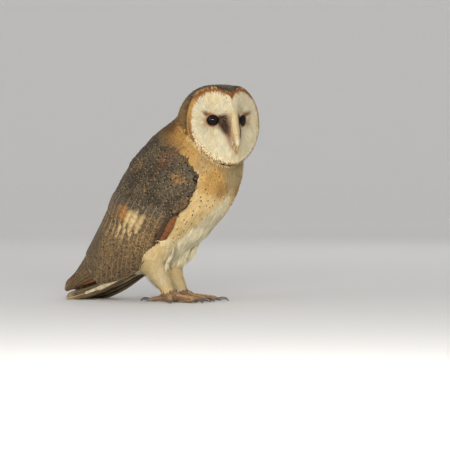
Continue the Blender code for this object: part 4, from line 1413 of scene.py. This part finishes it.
# the stroke rows between the white rows are partly the rim's own gold and brown, partly painted shadow
# between the tips; the two lines are the rim's own colour
for name, span, outside, colour_names in (
    ("rim_gold_line", (90, 179, 1.5), 0.6, ("deep_gold", "deep_gold", "olive")),
    ("rim_gold_strokes", (104, 162, 3.1), -2.9, ("deep_gold", "olive", "gold")),
    ("rim_dark_strokes", (110, 176, 3.3), -1.1, ("eye_brown", "olive")),
    ("rim_dark_line", (122, 180, 2.3), 1.9, ("eye_brown", "dark", "olive")),
):
    turns = turns_round(*span)
    rim_row(name, "plumage_brown", turns, outside, 3.0, 0.95, colour_names, 1.0, 1.3, STROKE_SHAPE)


# ---------------------------------------------------------------- legs and feet
# Soft short plumes clothe thigh and shank down to the ankle, ragged behind; the toes are bare skin with
# rows of small scales on top and a few stiff bristles.
leg_names = np.char.partition(form_owners.astype(str), "_")[:, 0]
form_heights = in_body(form_points)[:, 2]
LEG_LIE = np.array((0, 0.42, -1.0))
LEG_TOP = 80  # mm over the floor, where the flank's feathers take over
for part, apart, length, width, sunk in (("thigh", 1.8, 7.5, 1.7, 1.9), ("shank", 1.45, 4.6, 1.2, 1.2)):
    roots = scattered((leg_names == part) & (form_heights < LEG_TOP), apart)
    lies = LEG_LIE + random.normal(0, 0.10, (len(roots), 3)) + 0.1 * waver(roots, 6, 2.0)[:, None]
    paths = laid_paths(roots, lies, random.normal(length, 0.12 * length, len(roots)), 5, 0.2)
    colours, speckle = feather_tones(paths[0], 0.05)
    forward, _, up = in_body(roots).T
    rise = np.linspace(-sunk, 0.5, 5) + random.normal(0, 0.15, (len(roots), 1))
    ragged = random.uniform(0.2, 1.5, (len(roots), 1)) * ease((forward + 22) / -8)[:, None]
    rise += ragged * np.array((0, 0, 0.4, 1.4, 2.6)) - 1.4 * ease((up - 52) / 14)[:, None]
    widths = random.normal(width, 0.2, len(roots))
    small_feathers(f"{part}_plumes", "plumage_cream", FEATHER, paths, widths, POINTED, rise, colours, speckle)

# long white plumes of the belly hang down before both thighs and end in ragged locks
forward, aside, up = in_body(form_points).T
low_belly = ((leg_names == "trunk") | (leg_names == "thigh")) & (up > 48) & (up < 84)
roots = scattered(low_belly & (forward > -16) & (aside < 30), 2.0)
forward, aside, up = in_body(roots).T
roots = roots[forward - 0.58 * aside > np.interp(up, (50, 66, 84), (-22, -11, 13))]
lock = waver(roots, 8, 6.0)[:, None]
lies = np.array((0, 0.30, -1.0)) + np.array((0.16, 0.10, 0)) * lock + random.normal(0, 0.07, (len(roots), 3))
points, ups = laid_paths(roots, lies, 17 + 5 * lock[:, 0] + random.normal(0, 1.5, len(roots)), 6, 0.12)
ups = unit(ups * np.array((1, 1, 0.25)))  # they hang clear of the belly's underside
# painted shade and light: each plume is darker at its root and brighter towards its tip, and darker where its
# lock lies lower
shade = np.interp(np.arange(6), (0, 3), (0.85, 1.2))[:, None] * (0.95 + 0.14 * lock[:, :, None])
colours = tone("silk") * shade * random.normal(1, 0.08, (len(roots), 1, 1))
rise = np.array((-1.2, 0.2, 1.0, 1.7, 2.3, 2.8)) + 0.8 * lock * np.linspace(0, 1, 6)
rise += random.normal(0, 0.35, (len(roots), 1))
widths, shape = random.uniform(1.3, 2.4, len(roots)), (0.5, 0.9, 1.0, 0.8, 0.5, 0.1)
small_feathers(
    "hanging_plumes", "plumage_white", FEATHER, (points, ups), widths, shape, rise, colours, 0.06, lean=0.6
)

bare = (leg_names == "toe") | (leg_names == "foot")
roots = scattered(bare & (form_points[:, 2] > 3.2 * MM), 3.0)
lies = np.array((0, -0.5, -0.2)) + random.normal(0, 0.5, (len(roots), 3))
paths = laid_paths(roots, lies, random.normal(2.4, 0.4, len(roots)), 4, 0.05)
colours = tone("cream") * random.normal(0.9, 0.08, (len(roots), 1, 1))
shape, rise = (1.0, 0.9, 0.7, 0.3), (-0.2, 0.1, 0.35, 0.6)
small_feathers("toe_bristles", "plumage_cream", FEATHER, paths, 0.32, shape, rise, colours, 0.05, 0.15)


def domes(places, ups, aheads, sizes):
    """Corners of low oval domes: half length, half width and height in mm for each."""
    across = unit(np.cross(aheads, ups))
    ahead = unit(np.cross(ups, across))
    turns = np.arange(8) * math.tau / 8
    plan = np.cos(turns)[:, None] * ahead[:, None] * sizes[:, None, :1]
    plan = plan + np.sin(turns)[:, None] * across[:, None] * sizes[:, None, 1:2]
    rings = [
        places[:, None] + (plan * reach + ups[:, None] * sizes[:, None, 2:] * high) * MM
        for reach, high in ((1.0, -0.3), (0.82, 0.55), (0.45, 0.92), (0.08, 1.0))
    ]
    return np.stack(rings, 1)


# each toe's turn outwards in degrees and its length; each ankle's place forward and to the right
TOE_TURNS = {"inner": (-12, 28), "middle": (16, 33), "outer": (58, 26), "hind": (170, 17)}
ANKLES = {"right": (-12, 14.5), "left": (-13, -14.5)}
SCALE_STEP, SCALE_ASIDE = 1.9, 1.35


def toe_heading(side, turn):
    """Where a toe points."""
    out = math.radians(turn) * (1 if side == "right" else -1)
    return Vector((-math.sin(out), -math.cos(out), 0))


scales = []
for side in SIDES:
    ankle_forward, ankle_right = ANKLES[side]
    start = Vector((-ankle_right * MM, STAND.y - ankle_forward * MM, 30 * MM))
    for turn, length in TOE_TURNS.values():
        heading = toe_heading(side, turn)
        beside = Vector((heading.y, -heading.x, 0))
        for step in np.arange(9.0, 6 + length, SCALE_STEP):
            for aside in (-SCALE_ASIDE, 0, SCALE_ASIDE):
                above = start + heading * (step + 0.9 * (aside != 0)) * MM + beside * aside * MM
                hit, up, _, _ = form_tree.ray_cast(above, Vector((0, 0, -1)))
                if hit is not None and hit.z < 12 * MM:
                    scales.append((hit, up, heading, (0.95, 1.0 if aside == 0 else 0.6, 0.75)))
SCALE_SKIN = plumage_material("scaled_skin", 0.4, 0.3, 0.0)
rings = domes(*(np.array(values) for values in zip(*scales)))
colours = tone("scute") * random.normal(1, 0.12, (len(rings), 1, 1, 1))
coat_piece("toe_scales", "foot_skin", SCALE_SKIN, rings, colours, 0.2)


# ---------------------------------------------------------------- the dots
# Dark dots are the tips of single feathers: round on the cream flank and the golden neck, and on the grey
# mantle and wings a black drop with a white one at its end.
def dots(name, slot, roots, lies, length, width, colour, lift=0.5):
    """A dot at each root, along its lie."""
    paths = laid_paths(roots, lies, length, 4, 0.3)
    colours = np.broadcast_to(tone(colour), (len(roots), 1, 3))
    rise, shape = lift + np.array((-0.35, 0, 0, 0)), (0.5, 1.0, 1.0, 0.5)
    small_feathers(name, slot, FEATHER, paths, width, shape, rise, colours, 0.05, 0.1, 0.05)


def dotted(s_range, apart, wanted, jitter=0.3):
    """Roots and lies of dots scattered over the body where wanted says so, from s and angle."""
    rows = body_rows(s_range, apart)
    rows[:, 0] += random.normal(0, jitter * 0.02 * apart, len(rows))
    rows[:, 1] += random.normal(0, jitter * apart, len(rows))
    rows, roots, lies = settled(rows, 3.2)
    chosen = wanted(rows[:, 0], rows[:, 1]) & (random.uniform(0, 1, len(rows)) < 0.85)
    chosen &= (face_place(in_head(roots))[1] > 6) | (in_head(roots)[:, 1] < 5)
    return roots[chosen], lies[chosen], chosen.sum()


def on_flank(s, angle):
    """The cream flank, between the folded wing and the white belly."""
    cream = angle < np.interp(s, *BELLY_EDGE) + 2
    return cream & (wing_share(s, angle + 3) < 0.5) & (angle > 112) & (s > 3.9) & (s < 5.75)


def on_neck(s, angle):
    """The golden neck's sides, clear of the wing."""
    low_edge = 6.0 - 0.3 * (angle > 100)
    return (angle > 30) & (angle < 150) & (wing_share(s, angle) < 0.5) & (s > low_edge)


def on_mantle(s, angle):
    """The grey mantle and coverts, in from their edges."""
    back = angle < 62
    inside = (s > covert_edge(angle) + 0.05) & (s < 5.95) & (back | (wing_share(s + 0.12, angle + 7) > 0.5))
    return ((wing_share(s, angle) > 0.5) | back) & inside


roots, lies, count = dotted((3.9, 5.75), 7.4, on_flank)
lengths, widths = random.uniform(1.3, 1.8, count), random.uniform(1.05, 1.4, count)
dots("flank_dots", "plumage_brown", roots, lies, lengths, widths, "black")

roots, lies, count = dotted((5.7, 6.95), 5.6, on_neck)
lengths, widths = random.uniform(1.0, 1.5, count), random.uniform(0.7, 1.0, count)
dots("neck_dots", "plumage_brown", roots, lies, lengths, widths, "dark")

roots, lies, count = dotted((4.1, 6.1), 5.6, on_mantle, 0.5)
size = random.uniform(0.65, 1.05, count)
dots("mantle_black_drops", "plumage_grey", roots, lies, 2.2 * size, 1.5 * size, "black")
ahead = roots + lies * (2.1 * size * MM)[:, None]
dots("mantle_white_drops", "plumage_white", ahead, lies, 1.0 * size, 0.75 * size, "buff", 0.52)


# ---------------------------------------------------------------- eyes
# Large glossy balls, a little more curved at the cornea, with a very dark brown iris that looks almost
# black. They sit still in the skull, and the lids' soft rims close on them.
def streaky(tree, shader, scale, dark, pale, ends=(0.0, 1.0), by_place=True):
    """Colours a shader with fine streaks between two linear colours, and gives the streaks."""
    streaks = shader_node(tree, "ShaderNodeTexNoise", Scale=scale, Detail=3.0)
    shade = shader_node(tree, "ShaderNodeValToRGB")
    for stop, colour, position in zip(shade.color_ramp.elements, (dark, pale), ends):
        stop.color, stop.position = (*colour, 1), position
    if by_place:
        where = shader_node(tree, "ShaderNodeTexCoord")
        tree.links.new(where.outputs["Object"], streaks.inputs["Vector"])
    tree.links.new(streaks.outputs["Fac"], shade.inputs["Fac"])
    tree.links.new(shade.outputs["Color"], shader.inputs["Base Color"])
    return streaks


EYE_RINGS, EYE_CORNERS = 20, 36
BALL_SHARE, CORNEA_RISE = 0.985, 0.035  # of the eye's radius
for side in SIDES:
    axis = EYE_AXES[side]
    across = unit(np.cross(UPWARD, axis))
    over = np.cross(axis, across)
    points = []
    for k in range(EYE_RINGS + 1):
        turn = math.pi * (k / EYE_RINGS) ** 1.15
        bulge = 1 + CORNEA_RISE * math.exp(-((turn / 0.5) ** 2))
        for j in range(EYE_CORNERS):
            roll = math.tau * j / EYE_CORNERS
            out = axis * math.cos(turn) + (across * math.cos(roll) + over * math.sin(roll)) * math.sin(turn)
            points.append(EYES[side] + out * EYE_RADIUS * BALL_SHARE * bulge * MM)
    ball, tree, shader = principled(f"eyeball_{side}", roughness=0.06, Specular_IOR_Level=0.2)
    streaky(tree, shader, 420.0, (0.003, 0.002, 0.002), (0.012, 0.007, 0.005), by_place=False)
    eye = mesh_piece(f"eyeball_{side}", points, ring_faces(EYE_RINGS + 1, EYE_CORNERS), ball)
    welded = bmesh.new()
    welded.from_mesh(eye.data)
    bmesh.ops.remove_doubles(welded, verts=welded.verts, dist=0.005 * MM)
    bmesh.ops.recalc_face_normals(welded, faces=welded.faces)
    welded.to_mesh(eye.data)
    welded.free()
    eye.data.shade_smooth()
    finished(eye, "eye", f"eye_{side}")


# ---------------------------------------------------------------- bill
# A narrow hooked bill of horn, ivory with pinkish streaks, grows down from between the eyes. Most of it is
# hidden under the stiff bristles of the face.
def head_point(r, f, u):
    """A place by millimetres to the head's right, forward and up."""
    return HEAD_MIDDLE + (r * RIGHT + f * FORWARD + u * UPWARD) * MM


def bill_mesh(root, tip, sweep, half_width, half_depth, around, slices, hook=0.0):
    """Corners and faces of one half of the bill. root and tip are forward and up, sweep how far it bows
    forward between them, and hook how far the tip turns back."""
    points = []
    for k in range(slices + 1):
        t = k / slices
        bow = sweep * math.sin(math.pi * t) * (1 - 0.35 * t)
        forward = root[0] + (tip[0] - root[0]) * t + bow - hook * t**4
        up = root[1] + (tip[1] - root[1]) * t + bow * 0.25
        taper = (1 - t) ** 0.62 * 0.95 + 0.05
        down = math.radians(35 + 55 * t)
        for j in range(around):
            roll = math.tau * j / around
            ridge = 1 + 0.12 * max(0.0, math.sin(roll)) ** 6
            aside = half_width * taper * math.cos(roll)
            over = half_depth * taper * math.sin(roll) * ridge
            points.append(head_point(aside, forward + over * math.sin(down), up + over * math.cos(down)))
    caps = [tuple(range(around)), tuple(slices * around + j for j in range(around))[::-1]]
    return points, ring_faces(slices + 1, around) + caps


horn, tree, shader = principled("bill_horn", roughness=0.38, Subsurface_Weight=0.12, Coat_Weight=0.15)
shader.inputs["Subsurface Scale"].default_value = 0.002
streaks = streaky(tree, shader, 350.0, tone("lid") * 0.6, tone("buff") * 0.9, (0.3, 0.7))
raised(tree, streaks.outputs["Fac"], shader, 0.15, 0.1)
upper = mesh_piece("bill_upper_horn", *bill_mesh((38, -9), (43.5, -32.5), 4.4, 3.6, 4.6, 20, 22, 0.6), horn)
finished(upper, "bill", "bill_upper")
lower = mesh_piece("bill_lower_horn", *bill_mesh((37, -23), (40.3, -31), 0.5, 2.7, 2.4, 16, 10), horn)
finished(lower, "bill", "bill_lower")

# bristles grow down over the bill's root and past both its sides
billed_tree = tree_of(upper.data, form_mesh)
count = 900
u = random.uniform(-19, 14, count)
r = random.uniform(-1, 1, count) * np.interp(u, (-19, -8, 14), (5.4, 5.0, 1.6))
starts = np.array([head_point(a, 60, b) for a, b in zip(r, u)])
roots = np.array([tuple(billed_tree.ray_cast(Vector(p), Vector(-FORWARD))[0]) for p in starts])
lies = (0.05 * r[:, None]) * RIGHT - UPWARD + 0.15 * FORWARD + random.normal(0, 0.12, (count, 3))
lengths = np.minimum(random.uniform(4.5, 7.5, count), np.maximum(2.5, u + 25 + 0.8 * np.abs(r)))
paths = laid_paths(roots, lies, lengths, 5, 0.2, billed_tree)
colours = tone("white") * random.normal(0.98, 0.05, (count, 1))
laid_over(colours, "buff", random.uniform(0.2, 0.8, count) * ease((u + 18) / 8))
beside = ease((np.abs(r) - 2.6 + random.normal(0, 0.5, count)) / 2)
laid_over(colours, "rust", beside * ease((9 - u) / 12) * 0.65)
rise = np.array((-0.3, 0.1, 0.3, 0.4, 0.5)) + random.normal(0, 0.12, (count, 1))
widths, shape = random.uniform(0.5, 0.8, count), (1, 1, 0.8, 0.55, 0.2)
colours = colours[:, None]
small_feathers("bill_bristles", "plumage_white", FEATHER, paths, widths, shape, rise, colours, 0.04, 0.12)


# ---------------------------------------------------------------- claws
# Long curved claws of dark grey-brown horn with paler streaks, smooth and a little glossy. Each grows out
# of the end of its toe, and its root lies in the skin there.
claw_horn, tree, shader = principled("claw_horn", roughness=0.3, Coat_Weight=0.3, Coat_Roughness=0.2)
streaky(tree, shader, 500.0, (0.018, 0.014, 0.012), (0.16, 0.125, 0.095), (0.3, 0.7))
ROOT_LENGTH, ROOT_PULL = 1.4, 2.6 * MM
for side in SIDES:
    for toe in TOES:
        name = f"claw_{toe}_{side}"
        claw = nodes_piece(f"{name}_horn", [name])
        claw.data = evaluated(claw, ("SUBSURF", {"levels": 2, "render_levels": 2}))
        ahead = np.array(toe_heading(side, TOE_TURNS[toe][0]))
        corners = array_of(claw.data.vertices)
        reach = corners @ ahead / MM
        corners -= ROOT_PULL * ease(reach.min() + ROOT_LENGTH - reach)[:, None] * ahead
        claw.data.vertices.foreach_set("co", corners.ravel().astype(np.float32))
        dressed(claw.data, claw_horn)
        finished(claw, "claw", name)
